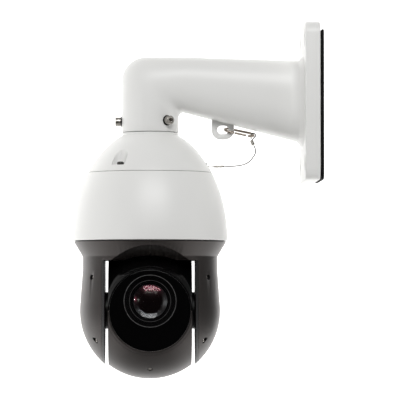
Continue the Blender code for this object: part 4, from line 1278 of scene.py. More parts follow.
@dataclass
class SafetyLanyard(Assembly):
    """The stranded steel rope between the cap and the arm, with its ends and snap hook."""

    rope_r: float = 0.0006
    wire_r: float = 0.00125
    half_width: float = 0.0054
    hook_tilt: float = math.radians(20)
    hook_near: Vector = field(default_factory=lambda: Vector((-0.0996, 0.0, -0.0288)))
    hook_far: Vector = field(default_factory=lambda: Vector((-0.0701, 0.0, -0.0349)))
    route_points: tuple[tuple[float, float], ...] = (
        (-0.0697, -0.0454), (-0.0684, -0.0482), (-0.0680, -0.0518), (-0.0686, -0.0546),
        (-0.0703, -0.0573), (-0.0727, -0.0605), (-0.0768, -0.0638), (-0.0818, -0.0656),
        (-0.0870, -0.0665), (-0.0930, -0.0670), (-0.0996, -0.0671))
    ferrule_top: Vector = field(default_factory=lambda: Vector((-0.0722, 0, -0.0398)))
    ferrule_bottom: Vector = field(default_factory=lambda: Vector((-0.0700, 0, -0.0451)))

    def strands(self, turns: float) -> Callable[[float, float], float]:
        """The section of a six-strand rope.

        Args:
            turns: how often it twists round along its length.

        Returns:
            A function from (share of the length, angle) to a radius.
        """
        full_turn, ridge = 6.283, 0.20

        def radius(share: float, angle: float) -> float:
            """Radius of the rope at one place on its skin."""
            lay = abs(math.cos(3 * (angle - turns * full_turn * share)))
            return self.rope_r * (1 - ridge + ridge * lay)
        return radius

    def build_rope(self) -> None:
        """The rope, its eye round the hook and the two crimped ends."""
        points = [Vector((x, 0, z)) for x, z in reversed(self.route_points)]
        route = smooth_route(points, 0.0004)
        rope = self.fit(tube("steel_rope", route, self.strands(9), 24), Slot.BRIGHT_STEEL,
                        Body.MOUNT, "safety_rope", finish="wire_rope", sharp=80.0)

        reach = (self.hook_far - self.ferrule_top).normalized()
        across = Vector((reach.z, 0, -reach.x))
        eye_r = self.wire_r + self.rope_r + 0.0004
        foot = self.ferrule_top + reach * 0.0006
        first = math.atan2(-across.z, -across.x)
        loop = [foot - across * 0.0007]
        loop += [self.hook_far + Vector((eye_r * math.cos(first - math.pi * i / 10), 0,
                                         eye_r * math.sin(first - math.pi * i / 10)))
                 for i in range(11)]
        loop += [foot + across * 0.0007]
        eye = self.fit(tube("steel_rope_eye", smooth_route(loop, 0.0003), self.strands(3), 24),
                       Slot.BRIGHT_STEEL, Body.MOUNT, "rope_eye", finish="wire_rope", sharp=80.0)

        def crimped(share: float, _angle: float) -> float:
            """Radius of a sleeve with two pressed waists."""
            end = min(share, 1 - share) / 0.08
            waist = 0.16 * max(math.sin(share * 3 * math.pi) ** 2 - 0.3, 0)
            return 0.0019 * min(1.0, 0.72 + 0.28 * end) * (1 - waist)

        sleeve_route = [self.ferrule_top.lerp(self.ferrule_bottom, i / 40) for i in range(41)]
        sleeve = self.fit(tube("hook_sleeve", sleeve_route, crimped, 32), Slot.STEEL,
                          Body.MOUNT, "rope_ferrule_hook", sharp=60.0)
        self.build_terminal(crimped)

    def build_terminal(self, crimped: Callable[[float, float], float]) -> None:
        """The ring terminal under the cap's screw, crimped on the rope.

        Args:
            crimped: radius along a crimped sleeve.
        """
        hole = self.datum.round_pan(0.0555, 87.0, -0.0673)
        start, end = Vector((-0.1114, 0, -0.0673)), Vector((-0.1000, 0, -0.0671))
        terminal = turned("rope_terminal", filleted(
            [(0.0025, 0, 0), (0.0042, 0, 0.0002), (0.0042, 0.0008, 0.0002), (0.0025, 0.0008, 0)]),
            hole, segments=48, ring=True)
        tongue = slab("tongue", 0.0019, 0.0004, 0.0003, hole.x + 0.003, -0.1105, 0.0002)
        tongue.location = (0, hole.y * 0.4, hole.z + 0.0004)
        bake_place(tongue)
        sleeve = tube("sleeve", [start.lerp(end, i / 40) for i in range(41)],
                      lambda s, a: crimped(s, a) * 0.62, 32)
        carve(terminal, "UNION", tongue, sleeve)
        self.fit(terminal, Slot.STEEL, Body.MOUNT, "rope_ferrule_dome", sharp=50.0)

    def build_hook(self) -> None:
        """The snap hook's bent wire, with a nose, and its gate."""
        along = (self.hook_far - self.hook_near).normalized()
        side = (Vector((0, math.cos(self.hook_tilt), 0))
                + Vector((-along.z, 0, along.x)) * math.sin(self.hook_tilt))
        end_r = self.half_width
        left, right = self.hook_near + along * end_r, self.hook_far - along * end_r
        hinge = right - along * 0.002 - side * end_r
        tip = left + along * 0.0052 - side * end_r

        def bend(centre: Vector, first: float, last: float) -> list[Vector]:
            """Points round one end of the hook."""
            return [centre + (along * math.cos(a) + side * math.sin(a)) * end_r
                    for a in (first + (last - first) * i / 24 for i in range(25))]

        wire = ([hinge + along * 0.0016] + bend(right, -math.pi / 2, math.pi / 2)
                + bend(left, math.pi / 2, 1.5 * math.pi) + [tip - along * 0.0004])
        body = tube("hook_body", smooth_route(wire, 0.0005),
                    lambda s, a: self.wire_r * min(1.0, 0.75 + 14 * min(s, 1 - s)), 24)
        self.fit(body, Slot.BRIGHT_STEEL, Body.MOUNT, "snap_hook", finish="hook_steel",
                 sharp=70.0)
        gate = rod("spring_gate", hinge, tip, self.wire_r * 0.88, 0.0005, 32)
        self.fit(gate, Slot.BRIGHT_STEEL, Body.GATE, "hook_gate", finish="hook_steel",
                 sharp=50.0)

    def build(self) -> None:
        """Build and dress the whole lanyard."""
        self.build_rope()
        self.build_hook()


def bake_place(piece: bpy.types.Object) -> None:
    """Move an object's place into its mesh.

    Args:
        piece: the object.
    """
    bpy.context.view_layer.update()
    piece.data.transform(piece.matrix_world)
    piece.matrix_world = Matrix.Identity(4)


@dataclass
class UpperDome(Assembly):
    """The white cap and housing, an upright half ellipse, with the cap's three screws."""

    height: float = 0.116
    centre_z: float = -0.1433
    collar_r: float = 0.0290
    bore_r: float = 0.0263
    ceiling_z: float = -0.041
    cap_wall: float = 0.003
    housing_wall: float = 0.0025
    seam_z: float = -0.0739
    seam_half: float = 0.0002
    screw_circle: float = 0.0555
    pocket_circle: float = 0.057
    pocket_r: float = 0.008
    pocket_floor: float = -0.0676
    pockets: dict[str, float] = field(default_factory=lambda: {
        "front": -33.0, "right": 87.0, "rear": 207.0})

    def curve(self, top: float, bottom: float, steps: int, inset: float = 0.0) -> Outline:
        """Points down the ellipse.

        Args:
            top: highest Z.
            bottom: lowest Z.
            steps: number of intervals.
            inset: distance inside the outer skin.

        Returns:
            The points.
        """
        tall, wide = self.height - inset, self.datum.dome_r - inset
        first, last = (math.acos(min((z - self.centre_z) / tall, 1.0)) for z in (top, bottom))
        return [(wide * math.sin(a), self.centre_z + tall * math.cos(a))
                for a in (first + (last - first) * i / steps for i in range(steps + 1))]

    def build_cap(self) -> None:
        """The cap, with a pocket for each of its screws."""
        axis = Vector((self.datum.pan_x, 0, 0))
        shoulder = self.centre_z + self.height * math.sqrt(
            1 - (self.collar_r / self.datum.dome_r) ** 2)
        low = self.seam_z + self.seam_half
        outside = filleted([(0, self.datum.cap_top, 0), (self.collar_r, self.datum.cap_top, 0.0007),
                            (self.collar_r, shoulder, 0)])
        outside += self.curve(shoulder - 0.0003, low + 0.0003, 40)
        rim_r = self.curve(low, low - 0.0001, 1)[0][0]
        outside += [(rim_r - 0.0002, low), (0, low)]
        cap = turned("cap_shell", outside, axis, segments=192)
        inside = ([(0, self.ceiling_z)] + self.curve(self.ceiling_z, low, 20, self.cap_wall)
                  + [(rim_r - self.cap_wall, low - 0.01), (0, low - 0.01)])
        hollow = turned("hollow", inside, axis, segments=96)
        for bearing in self.pockets.values():
            carve(hollow, "DIFFERENCE", rod(
                "boss", self.datum.round_pan(self.pocket_circle, bearing, -0.09),
                self.datum.round_pan(self.pocket_circle, bearing, -0.04),
                self.pocket_r + self.cap_wall))
        carve(cap, "DIFFERENCE", hollow,
              rod("bore", Vector((self.datum.pan_x, 0, -0.02)),
                  Vector((self.datum.pan_x, 0, self.ceiling_z - 0.003)), self.bore_r, segments=96))
        for bearing in self.pockets.values():
            carve(cap, "DIFFERENCE",
                  rod("pocket", self.datum.round_pan(self.pocket_circle, bearing,
                                                     self.pocket_floor),
                      self.datum.round_pan(self.pocket_circle, bearing, -0.03), self.pocket_r,
                      0.001, 64),
                  rod("screw_hole", self.datum.round_pan(self.screw_circle, bearing, -0.09),
                      self.datum.round_pan(self.screw_circle, bearing, -0.06), 0.0024))
        soften(cap, 0.0005, 45.0)
        self.fit(cap, Slot.WHITE_PAINT, Body.MOUNT, "top_cap", sharp=60.0)

    def build_housing(self) -> None:
        """The lower shell, with a rolled rim."""
        axis = Vector((self.datum.pan_x, 0, 0))
        top, rim = self.seam_z - self.seam_half, self.datum.rim_z
        flange = top - 0.0045
        start_r = self.curve(top, top - 0.0001, 1)[0][0]
        outline = [(0.050, top), (start_r - 0.0003, top)]
        outline += self.curve(top - 0.0003, rim + 0.0012, 60)
        outline += filleted([(self.datum.dome_r, rim + 0.0012, 0), (self.datum.dome_r, rim, 0.0011),
                             (self.datum.dome_r - self.housing_wall, rim, 0.0006),
                             (self.datum.dome_r - self.housing_wall, rim + 0.0015, 0)])[1:]
        outline += self.curve(flange, rim + 0.0016, 30, self.housing_wall)[::-1]
        outline += [(0.050, flange)]
        housing = turned("housing_shell", outline, axis, segments=192, ring=True)
        self.fit(housing, Slot.WHITE_PAINT, Body.MOUNT, "dome_housing", sharp=50.0)

    def build_cap_screws(self) -> None:
        """Pan-head screws with a cross recess, down in the pockets."""
        for name, bearing in self.pockets.items():
            low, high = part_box(f"cap_screw_{name}")
            seat = self.datum.round_pan(self.screw_circle, bearing, high.z - 0.003)
            outline = filleted([(0, 0.0030, 0), (0.0024, 0.0030, 0.002), (0.0036, 0.0020, 0.0012),
                                (0.0036, 0.0, 0.0002), (0.0019, 0.0, 0),
                                (0.0019, low.z - seat.z, 0.0004), (0, low.z - seat.z, 0)])
            screw = turned(f"cap_bolt_{name}", outline, seat, segments=64)
            for turn in (0.0, math.pi / 2):
                blade = box("recess", (-0.0021, -0.00045, 0.0012), (0.0021, 0.00045, 0.0060))
                blade.rotation_euler = (0, 0, turn + 0.5)
                blade.location = seat
                bake_place(blade)
                carve(screw, "DIFFERENCE", blade)
            self.fit(screw, Slot.DARK_STEEL, Body.MOUNT, f"cap_screw_{name}")

    def build(self) -> None:
        """Build and dress the cap and housing."""
        self.build_cap()
        self.build_housing()
        self.build_cap_screws()


@dataclass
class Yoke(Assembly):
    """The dark turret under the housing: chin, two arms and their inner plates."""

    top_r: float = 0.0789
    top_z: float = -0.1447
    waist_z: float = -0.1605
    waist_r: float = 0.0695
    waist_end_z: float = -0.174
    cheek_z: float = -0.207
    ball_r: float = 0.0724
    wall: float = 0.0025
    plate_t: float = 0.0025
    slot_top: float = -0.1646
    ceiling_r: float = 0.0722
    arch_r: float = 0.0997
    arch_slope: float = math.radians(18.5)
    arch_drop: float = 0.100
    arch_y: float = -0.074
    arch_z: float = -0.1497
    hollow_top: float = -0.1665
    seam_half: float = 0.00015
    hub_r: float = 0.0130
    recess_r: float = 0.0027
    recess_depth: float = 0.003
    screw_bearing: float = math.radians(58.0)
    screw_heights: dict[str, float] = field(default_factory=lambda: {
        "upper": -0.182, "lower": -0.246})

    def outline(self, inset: float, top: float) -> Outline:
        """Outline of the chin, arms and ball down the pan axis.

        Args:
            inset: distance inside the outer skin.
            top: Z of the flat top.

        Returns:
            The points.
        """
        ball = self.ball_r - inset
        start = math.asin((self.cheek_z - self.datum.tilt_z) / ball)
        corners = [(0, top, 0), (self.top_r - inset, top, 0.0007 if not inset else 0),
                   (self.waist_r - inset, self.waist_z, 0.0035),
                   (self.waist_r - inset, self.waist_end_z, 0.012),
                   (ball * math.cos(start), self.cheek_z, 0)]
        points = filleted(corners, 8)[:-1]
        points += [(ball * math.cos(a), self.datum.tilt_z + ball * math.sin(a))
                   for a in (start + (-math.pi / 2 - start) * i / 56 for i in range(57))]
        return [(max(r, 0.0), h) for r, h in points]

    def arch(self, half_width: float) -> bpy.types.Object:
        """The sloping barrel vault in front of the head, as a cutter.

        Args:
            half_width: half the space between the arms.

        Returns:
            The cutter.
        """
        spread = math.asin(half_width / self.arch_r)
        up = Vector((0, math.sin(self.arch_slope), math.cos(self.arch_slope)))
        back = Vector((0, math.cos(self.arch_slope), -math.sin(self.arch_slope)))
        centre = Vector((self.datum.pan_x, self.arch_y, self.arch_z)) - up * self.arch_drop
        section = [(half_width, 0.02)]
        section += [(self.arch_r * math.cos(a), self.arch_r * math.sin(a)) for a in
                    (math.pi / 2 - spread + 2 * spread * i / 48 for i in range(49))]
        section += [(-half_width, 0.02)]
        return loft("arch", [[centre + Vector((x, 0, 0)) + up * y + back * d
                              for x, y in section] for d in (-0.09, 0.09)])

    def ceiling(self, half_width: float) -> bpy.types.Object:
        """The round space that the head turns in, as a cutter between the arms.

        Args:
            half_width: how far it reaches on each side of the pan axis.

        Returns:
            The cutter.
        """
        arc = [(self.ceiling_r * math.sin(a), -self.ceiling_r * math.cos(a))
               for a in (math.pi * i / 64 for i in range(65))]
        ball = turned("ceiling", arc, self.datum.tilt_centre, Axis.WALL, 128)
        x = self.datum.pan_x
        return carve(ball, "INTERSECT", box("slab", (x - half_width, -FAR, DEEP),
                                            (x + half_width, FAR, -FAR)))

    def paint_recess_shade(self, shell: bpy.types.Object) -> None:
        """Give the walls of a shell's screw recesses a near-black finish, darker than the shell's
        own paint, as painted shade.

        Args:
            shell: one half of the skin.
        """
        # The second material is painted shade: a near-black finish for the recess walls.
        shell.data.materials.append(self.paint.finish("baffle_black"))
        reach, slack = self.recess_depth + 0.001, 0.00015
        for face in shell.data.polygons:
            for _, _, place in self.screws():
                off = face.center - place
                from_axis = math.hypot(off.y, off.z)
                is_wall = self.recess_r - 2 * slack < from_axis < self.recess_r + slack
                if is_wall and abs(off.x) < reach and abs(face.normal.x) < 0.995:
                    face.material_index = 1

    def screws(self) -> Iterable[tuple[str, int, Vector]]:
        """Name, side and place on the skin of each screw of the shells."""
        for side_name, side in (("left", -1), ("right", 1)):
            for face_name, face in (("front", -1), ("rear", 1)):
                for level, height in self.screw_heights.items():
                    radius = self.waist_r if level == "upper" else math.sqrt(
                        self.ball_r ** 2 - (height - self.datum.tilt_z) ** 2)
                    yield (f"arm_screw_{side_name}_{face_name}_{level}", side, Vector((
                        self.datum.pan_x + side * radius * math.sin(self.screw_bearing),
                        face * radius * math.cos(self.screw_bearing), height)))

    def build_shells(self) -> None:
        """The two halves of the moulded skin, split down the middle of the chin."""
        axis = Vector((self.datum.pan_x, 0, 0))
        x = self.datum.pan_x
        slot_x = self.datum.arm_inner_x + self.plate_t + 0.0002
        whole = turned("skin", self.outline(0.0, self.top_z), axis, segments=192)
        carve(whole, "DIFFERENCE", box("slot", (x - slot_x, -FAR, DEEP),
                                       (x + slot_x, FAR, self.slot_top)))
        carve(whole, "DIFFERENCE", self.arch(self.datum.arm_inner_x), self.ceiling(slot_x))
        hollow = turned("hollow", self.outline(self.wall, self.top_z), axis, segments=96)
        carve(hollow, "DIFFERENCE", box("keep", (x - slot_x - 0.0001, -FAR, DEEP),
                                        (x + slot_x + 0.0001, FAR, -FAR)),
              box("chin", (x - FAR, -FAR, self.hollow_top), (x + FAR, FAR, -FAR)))
        for name, side, place in self.screws():
            carve(hollow, "DIFFERENCE", rod("boss", Vector((x + side * 0.052, place.y, place.z)),
                                            place + Vector((side * 0.02, 0, 0)), 0.0043))
        carve(whole, "DIFFERENCE", hollow)
        for name, side, place in self.screws():
            carve(whole, "DIFFERENCE",
                  rod("recess", place - Vector((side * self.recess_depth, 0, 0)),
                      place + Vector((side * 0.02, 0, 0)), self.recess_r, 0.0, 40),
                  rod("clearance", Vector((x + side * 0.0505, place.y, place.z)), place,
                      0.0016, 0.0, 24))
        for side_name, side in (("left", -1), ("right", 1)):
            shell = copy_of(whole, f"turret_skin_{side_name}")
            edges = sorted((x - side * FAR, x + side * self.seam_half))
            carve(shell, "DIFFERENCE", box("other", (edges[0], -FAR, DEEP), (edges[1], FAR, -FAR)))
            soften(shell, 0.00045, 38.0, 3)
            self.fit(shell, Slot.DARK_PAINT, Body.TURRET, f"yoke_shell_{side_name}", sharp=60.0)
            # Painted shade on the walls of the screw recesses.
            self.paint_recess_shade(shell)
        bpy.data.objects.remove(whole, do_unlink=True)

    def build_plates(self) -> None:
        """The black inner plates that face the head, each with a hole round the axle."""
        axis = Vector((self.datum.pan_x, 0, 0))
        for side_name, side in (("left", -1), ("right", 1)):
            plate = turned(f"inner_plate_{side_name}", self.outline(0.0, self.top_z), axis,
                           segments=192)
            near = self.datum.pan_x + side * self.datum.arm_inner_x
            faces = sorted((near, near + side * self.plate_t))
            carve(plate, "INTERSECT", box("slab", (faces[0], -FAR, DEEP),
                                          (faces[1], FAR, self.slot_top - 0.0002)))
            carve(plate, "DIFFERENCE",
                  rod("hole", self.datum.tilt_centre + Vector((side * 0.04, 0, 0)),
                      self.datum.tilt_centre + Vector((side * 0.06, 0, 0)), self.hub_r))
            soften(plate, 0.0004, 45.0)
            self.fit(plate, Slot.BLACK_PLASTIC, Body.TURRET, f"arm_inner_plate_{side_name}",
                     sharp=60.0)

    def build_screws(self) -> None:
        """The shells' screws, each with a hexagon socket, deep in their recesses."""
        for name, side, place in self.screws():
            out = Vector((side, 0, 0))
            seat = place - out * 0.0027
            screw = rod(f"turret_{name}", seat, seat + out * 0.0019, 0.0019, 0.0005, 40)
            carve(screw, "UNION", rod("shank", Vector((self.datum.pan_x + side * 0.0499, place.y,
                                                       place.z)), seat + out * 0.0005, 0.0012))
            carve(screw, "DIFFERENCE", hexagon(seat, out, Vector((0, 1, 0)), 0.0012,
                                               (0.0006, 0.003)))
            self.fit(screw, Slot.STEEL, Body.TURRET, name, finish=Slot.BRIGHT_STEEL.value)

    def build(self) -> None:
        """Build and dress the yoke's visible pieces."""
        self.build_shells()
        self.build_plates()
        self.build_screws()


@dataclass
class BallHead(Assembly):
    """The tilting ball: gloss hood, matt lower and rear shells, and the front window."""

    ball_r: float = 0.0703
    wall: float = 0.0025
    window_y: float = 0.0558
    shell_front: float = 0.0540
    window_r: float = 0.0414
    lens_hole_r: float = 0.0268
    axle_r: float = 0.0094

    def ball(self, name: str, radius: float, front: float) -> bpy.types.Object:
        """A ball with a flat front, turned round the look direction.

        Args:
            name: the object's name.
            radius: its radius.
            front: distance of its flat front from the centre.

        Returns:
            The object.
        """
        edge = math.acos(front / radius)
        arc = [(radius * math.sin(a), radius * math.cos(a))
               for a in (edge + (math.pi - edge) * i / 96 for i in range(97))]
        return turned(name, [(0, front)] + arc, self.datum.tilt_centre, Axis.LOOK, 192)

    def build_shells(self) -> None:
        """The three shells of the ball."""
        x, z = self.datum.pan_x, self.datum.tilt_z
        half, inner = self.datum.head_half_x, self.datum.head_half_x - self.wall
        whole = self.ball("ball", self.ball_r, self.shell_front)
        carve(whole, "INTERSECT", box("cheeks", (x - half, -FAR, DEEP), (x + half, FAR, -FAR)))
        hollow = self.ball("hollow", self.ball_r - self.wall, 0.062)
        carve(hollow, "INTERSECT", box("cheeks", (x - inner, -FAR, DEEP), (x + inner, FAR, -FAR)))
        carve(whole, "DIFFERENCE", hollow,
              rod("axle", Vector((x - 0.06, 0, z)), Vector((x + 0.06, 0, z)), self.axle_r))
        outward = Vector((0, -0.037, -0.0596)).normalized()
        skin = self.datum.tilt_centre + outward * self.ball_r
        gap = 0.00012
        regions = (
            ("hood_shell", (x - FAR, -FAR, z + gap), (x + FAR, -gap, -FAR), Slot.GLOSS_BLACK,
             "head_hood"),
            ("lower_shell", (x - FAR, -FAR, DEEP), (x + FAR, -gap, z - gap), Slot.DARK_PAINT,
             "head_front_shell"),
            ("rear_shell", (x - FAR, gap, DEEP), (x + FAR, FAR, -FAR), Slot.DARK_PAINT,
             "head_rear_shell"))
        for name, low, high, slot, node in regions:
            shell = copy_of(whole, name)
            carve(shell, "INTERSECT", box("region", low, high))
            if node == "head_front_shell":
                carve(shell, "DIFFERENCE", rod("recess", skin - outward * 0.0012,
                                               skin + outward * 0.005, 0.0027),
                      rod("hole", skin - outward * 0.01, skin, 0.0016))
            soften(shell, 0.0004, 40.0)
            self.fit(shell, slot, Body.HEAD, node, sharp=60.0)
        bpy.data.objects.remove(whole, do_unlink=True)
        # Painted shade: a near-black lining cup on the floor of the lower screw's recess, darker
        # than the black plastic.
        shade_lining = turned_washer("lower_screw_cup", skin - outward * 0.0011, outward, 0.0014, 0.00265,
                            0.0004)
        self.fit(shade_lining, Slot.BLACK_PLASTIC, Body.HEAD, finish="baffle_black")
        screw = rod("lower_screw", skin - outward * 0.0010, skin - outward * 0.0001, 0.0016,
                    0.0004, 40)
        carve(screw, "UNION", rod("shank", skin - outward * 0.010, skin - outward * 0.0006, 0.0012))
        carve(screw, "DIFFERENCE", hexagon(skin, outward, Vector((1, 0, 0)), 0.0012,
                                           (-0.0007, 0.001)))
        self.fit(screw, Slot.DARK_STEEL, Body.HEAD, "head_screw", finish=Slot.STEEL.value)

    def build_window(self) -> None:
        """The thin grey bezel, the black pane and the clear part before the lens."""
        x, centre = self.datum.pan_x, self.datum.tilt_centre
        half = self.datum.head_half_x
        bezel = self.ball("bezel_ring", self.ball_r, self.window_y)
        carve(bezel, "INTERSECT", box("cheeks", (x - half, -FAR, DEEP), (x + half, FAR, -FAR)))
        carve(bezel, "DIFFERENCE", box("behind", (x - FAR, -self.shell_front - 0.0002, DEEP),
                                       (x + FAR, FAR, -FAR)),
              rod("hole", Vector((x, -0.07, centre.z)), Vector((x, -0.04, centre.z)),
                  self.window_r, segments=192))
        soften(bezel, 0.0003, 30.0)
        upper = carve(copy_of(bezel, "bezel_upper"), "INTERSECT",
                      box("above", (x - FAR, -FAR, centre.z), (x + FAR, FAR, 0.0)))
        carve(bezel, "INTERSECT", box("below", (x - FAR, -FAR, DEEP), (x + FAR, FAR, centre.z)))
        self.fit(bezel, Slot.DARK_PAINT, Body.HEAD, "window_bezel", sharp=60.0)
        self.fit(upper, Slot.GLOSS_BLACK, Body.HEAD, "window_bezel", sharp=60.0)
        rim = turned("window_ring", filleted(
            [(self.window_r - 0.0001, self.window_y - 0.0001, 0),
             (self.window_r + 0.0007, self.window_y, 0.0002),
             (self.window_r + 0.0007, self.window_y - 0.0006, 0),
             (self.window_r - 0.0001, self.window_y - 0.0006, 0)]), centre, Axis.LOOK, 192,
            ring=True)
        self.fit(rim, Slot.SATIN_GREY, Body.HEAD)

        front, back = self.window_y - 0.0004, self.window_y - 0.0016
        pane_r = self.window_r - 0.0002
        pane = turned("black_pane", filleted([(0, front, 0), (pane_r, front, 0.0003),
                                              (pane_r, back, 0), (0, back, 0)]),
                      centre, Axis.LOOK, 192)
        lens = self.datum.lens_centre
        carve(pane, "DIFFERENCE", rod("lens_hole", lens + Vector((0, -0.07, 0)),
                                      lens + Vector((0, -0.04, 0)), self.lens_hole_r,
                                      segments=144))
        self.fit(pane, Slot.SMOKED_GLASS, Body.HEAD, "window_glass", sharp=40.0)
        clear_r = self.lens_hole_r - 0.0008
        clear = turned("clear_pane", filleted([(0, front - 0.0002, 0), (clear_r, front - 0.0002,
                                                                       0.0002),
                                               (clear_r, back, 0), (0, back, 0)]),
                       lens, Axis.LOOK, 144)
        self.fit(clear, Slot.SMOKED_GLASS, Body.HEAD, finish="clear_pane", sharp=40.0)
        ring = turned("lens_ring", filleted(
            [(clear_r + 0.0001, front + 0.0001, 0), (self.lens_hole_r - 0.0001, front + 0.0001, 0),
             (self.lens_hole_r - 0.0001, back, 0), (clear_r + 0.0001, back, 0)]),
            lens, Axis.LOOK, 144, ring=True)
        self.fit(ring, Slot.SATIN_GREY, Body.HEAD)

    def build_axles(self) -> None:
        """The two axle bosses between the head's cheeks and the arms."""
        for side_name, side, end in (("left", -1, 0.0576), ("right", 1, 0.0535)):
            spans = [(0, 0.0269, 0), (0.009, 0.0269, 0.0003), (0.009, 0.0430, 0.0),
                     (0.019, 0.0430, 0.0005), (0.019, 0.0462, 0.0005), (0.009, 0.0462, 0.0),
                     (0.009, end, 0.0006), (0.0050, end, 0.0), (0.0050, 0.0269, 0)]
            outline = filleted([(r, side * h, fillet) for r, h, fillet in spans[1:]])
            axle = turned(f"axle_boss_{side_name}", outline, self.datum.tilt_centre, Axis.WALL,
                          96, ring=True)
            self.fit(axle, Slot.BLACK_PLASTIC, Body.HEAD, f"tilt_axle_{side_name}", sharp=45.0)

    def build(self) -> None:
        """Build and dress the ball and its window."""
        self.build_shells()
        self.build_window()
        self.build_axles()


@dataclass
class Optics(Assembly):
    """The zoom lens behind the window: baffled barrel, coated elements and moving groups."""

    def build_barrel(self) -> None:
        """The barrel, with stepped baffle rings inside its mouth."""
        steps = [(0.0262, 0.0536), (0.0271, 0.0536), (0.0271, 0.0470), (0.0240, 0.0450),
                 (0.0240, 0.0085), (0.0150, 0.0085), (0.0150, 0.0350), (0.0190, 0.0350),
                 (0.0190, 0.0462)]
        mouth = []
        rings, ridge, groove = 5, 0.0005, 0.0012
        inner_r, outer_r, inner_y, outer_y = 0.0192, 0.0255, 0.0466, 0.0528
        pitch, rise = (outer_r - inner_r) / (rings - 1), (outer_y - inner_y) / (rings - 1)
        for i in range(rings):
            radius, height = inner_r + pitch * i, inner_y + rise * i
            mouth += [(radius, height, 0.0001), (radius + ridge, height, 0.0001)]
            if i < rings - 1:
                mouth += [(radius + ridge, height - groove, 0.0),
                          (radius + pitch, height - groove, 0.0)]
        corners = [(r, h, 0.0002) for r, h in steps] + mouth
        barrel = turned("lens_housing", filleted(corners, 3), self.datum.lens_centre, Axis.LOOK,
                        144, ring=True)
        self.fit(barrel, Slot.BLACK_PLASTIC, Body.HEAD, "lens_barrel", finish="baffle_black",
                 sharp=30.0)
        trim_r, trim_y = 0.0210, 0.0483
        trim = turned("lens_trim", filleted(
            [(trim_r - 0.0003, trim_y, 0), (trim_r, trim_y + 0.0004, 0.0001),
             (trim_r + 0.0004, trim_y, 0.0001), (trim_r, trim_y - 0.0004, 0)]),
            self.datum.lens_centre, Axis.LOOK, 144, ring=True)
        self.fit(trim, Slot.SATIN_GREY, Body.HEAD)

    def meniscus(self, name: str, radius: float, edge: float, rise: float,
                 thickness: float) -> bpy.types.Object:
        """A domed element.

        Args:
            name: the object's name.
            radius: its rim radius.
            edge: distance of its rim in front of the pan axis.
            rise: how far its middle stands before its rim.
            thickness: how thick its rim is.

        Returns:
            The object.
        """
        sphere_r = (radius ** 2 + rise ** 2) / (2 * rise)
        half = math.asin(radius / sphere_r)
        arc = [(sphere_r * math.sin(a), edge + rise - sphere_r * (1 - math.cos(a)))
               for a in (half * i / 32 for i in range(33))]
        outline = arc + [(radius, edge - thickness), (0, edge - thickness)]
        return turned(name, outline, self.datum.lens_centre, Axis.LOOK, 144)

    def bowl(self) -> bpy.types.Object:
        """The concave coated element round the iris, seen through the front ones."""
        sphere_r, rim_r, iris_r, rim = 0.044, 0.0176, 0.0105, 0.0400
        sag = sphere_r - math.sqrt(sphere_r ** 2 - rim_r ** 2)
        arc = [(r, rim - sag + sphere_r - math.sqrt(sphere_r ** 2 - r ** 2))
               for r in (iris_r + (rim_r - iris_r) * i / 16 for i in range(17))]
        outline = arc + [(rim_r, rim - sag - 0.0006), (iris_r, rim - sag - 0.0006)]
        return turned("concave_element", outline, self.datum.lens_centre, Axis.LOOK, 144,
                      ring=True)

    def build_elements(self) -> None:
        """The front element and the coated ones behind it."""
        self.fit(self.meniscus("front_element", 0.0180, 0.0418, 0.0034, 0.0008),
                 Slot.LENS_GLASS, Body.HEAD, "front_lens", finish="rose_coating", sharp=40.0)
        self.fit(self.bowl(), Slot.LENS_GLASS, Body.HEAD, finish="blue_coating", sharp=30.0)
        iris = turned("iris_ring", filleted(
            [(0.0097, 0.0376, 0), (0.0104, 0.0376, 0.0002), (0.0104, 0.0368, 0.0),
             (0.0097, 0.0368, 0)]), self.datum.lens_centre, Axis.LOOK, 96, ring=True)
        self.fit(iris, Slot.STEEL, Body.HEAD)
        self.fit(self.meniscus("second_element", 0.0128, 0.0386, 0.0022, 0.0004),
                 Slot.LENS_GLASS, Body.HEAD, finish="green_coating", sharp=40.0)
        self.fit(self.meniscus("pupil_element", 0.0083, 0.0356, 0.0020, 0.0006),
                 Slot.LENS_GLASS, Body.HEAD, finish="pupil", sharp=40.0)

    def dress_groups(self) -> None:
        """The sliding groups, each a waisted glass in a cell."""
        for node, body in (("zoom_group", Body.ZOOM), ("focus_group", Body.FOCUS)):
            low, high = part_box(node)
            front, back, radius = -low.y, -high.y, (high.x - low.x) / 2
            outline = filleted([(0, front - 0.0008, 0), (0.0105, front - 0.0018, 0.0003),
                                (0.0110, front, 0.0003), (radius, front, 0.0003),
                                (radius, back, 0.0003), (0.0110, back, 0.0003),
                                (0.0105, back + 0.0012, 0.0003), (0, back + 0.0006, 0)])
            cell = turned(f"{node}_cell", outline, self.datum.lens_centre, Axis.LOOK, 96)
            self.fit(cell, Slot.LENS_GLASS, body, node, sharp=30.0)

    def build(self) -> None:
        """Build and dress the lens."""
        self.build_barrel()
        self.build_elements()
        self.dress_groups()


@dataclass
class Interior(Assembly):
    """The solids inside the housing and arms, which keep their shapes."""

    def build(self) -> None:
        """Give every solid that still shows its slot's finish."""
        slots = {part["node"]: part["material_slot"] for part in frame["record"]["subparts"]}
        for node, obj in frame["nodes"].items():
            if obj.hide_render:
                continue
            self.paint.coat(obj, slots[node])
            LOG.info("%s keeps its solid in %s", node, slots[node])


# ------------------------------------------------------------------ studio

@dataclass(frozen=True)
class Softbox:
    """A rectangular light: its direction from the object, distance, size and radiance."""

    name: str
    azimuth: float
    elevation: float
    distance: float
    width: float
    height: float
    radiance: float


SOFTBOXES = (
    Softbox("left_softbox", -64.0, -4.0, 2.4, 1.5, 2.0, 0.45),
    Softbox("right_softbox", 66.0, -8.0, 2.4, 1.3, 2.0, 0.7),
    Softbox("front_softbox", 5.0, 34.0, 2.8, 2.0, 1.0, 8.1),
    Softbox("glint_lamp", -39.0, 1.5, 2.7, 0.08, 0.08, 220.0),
)


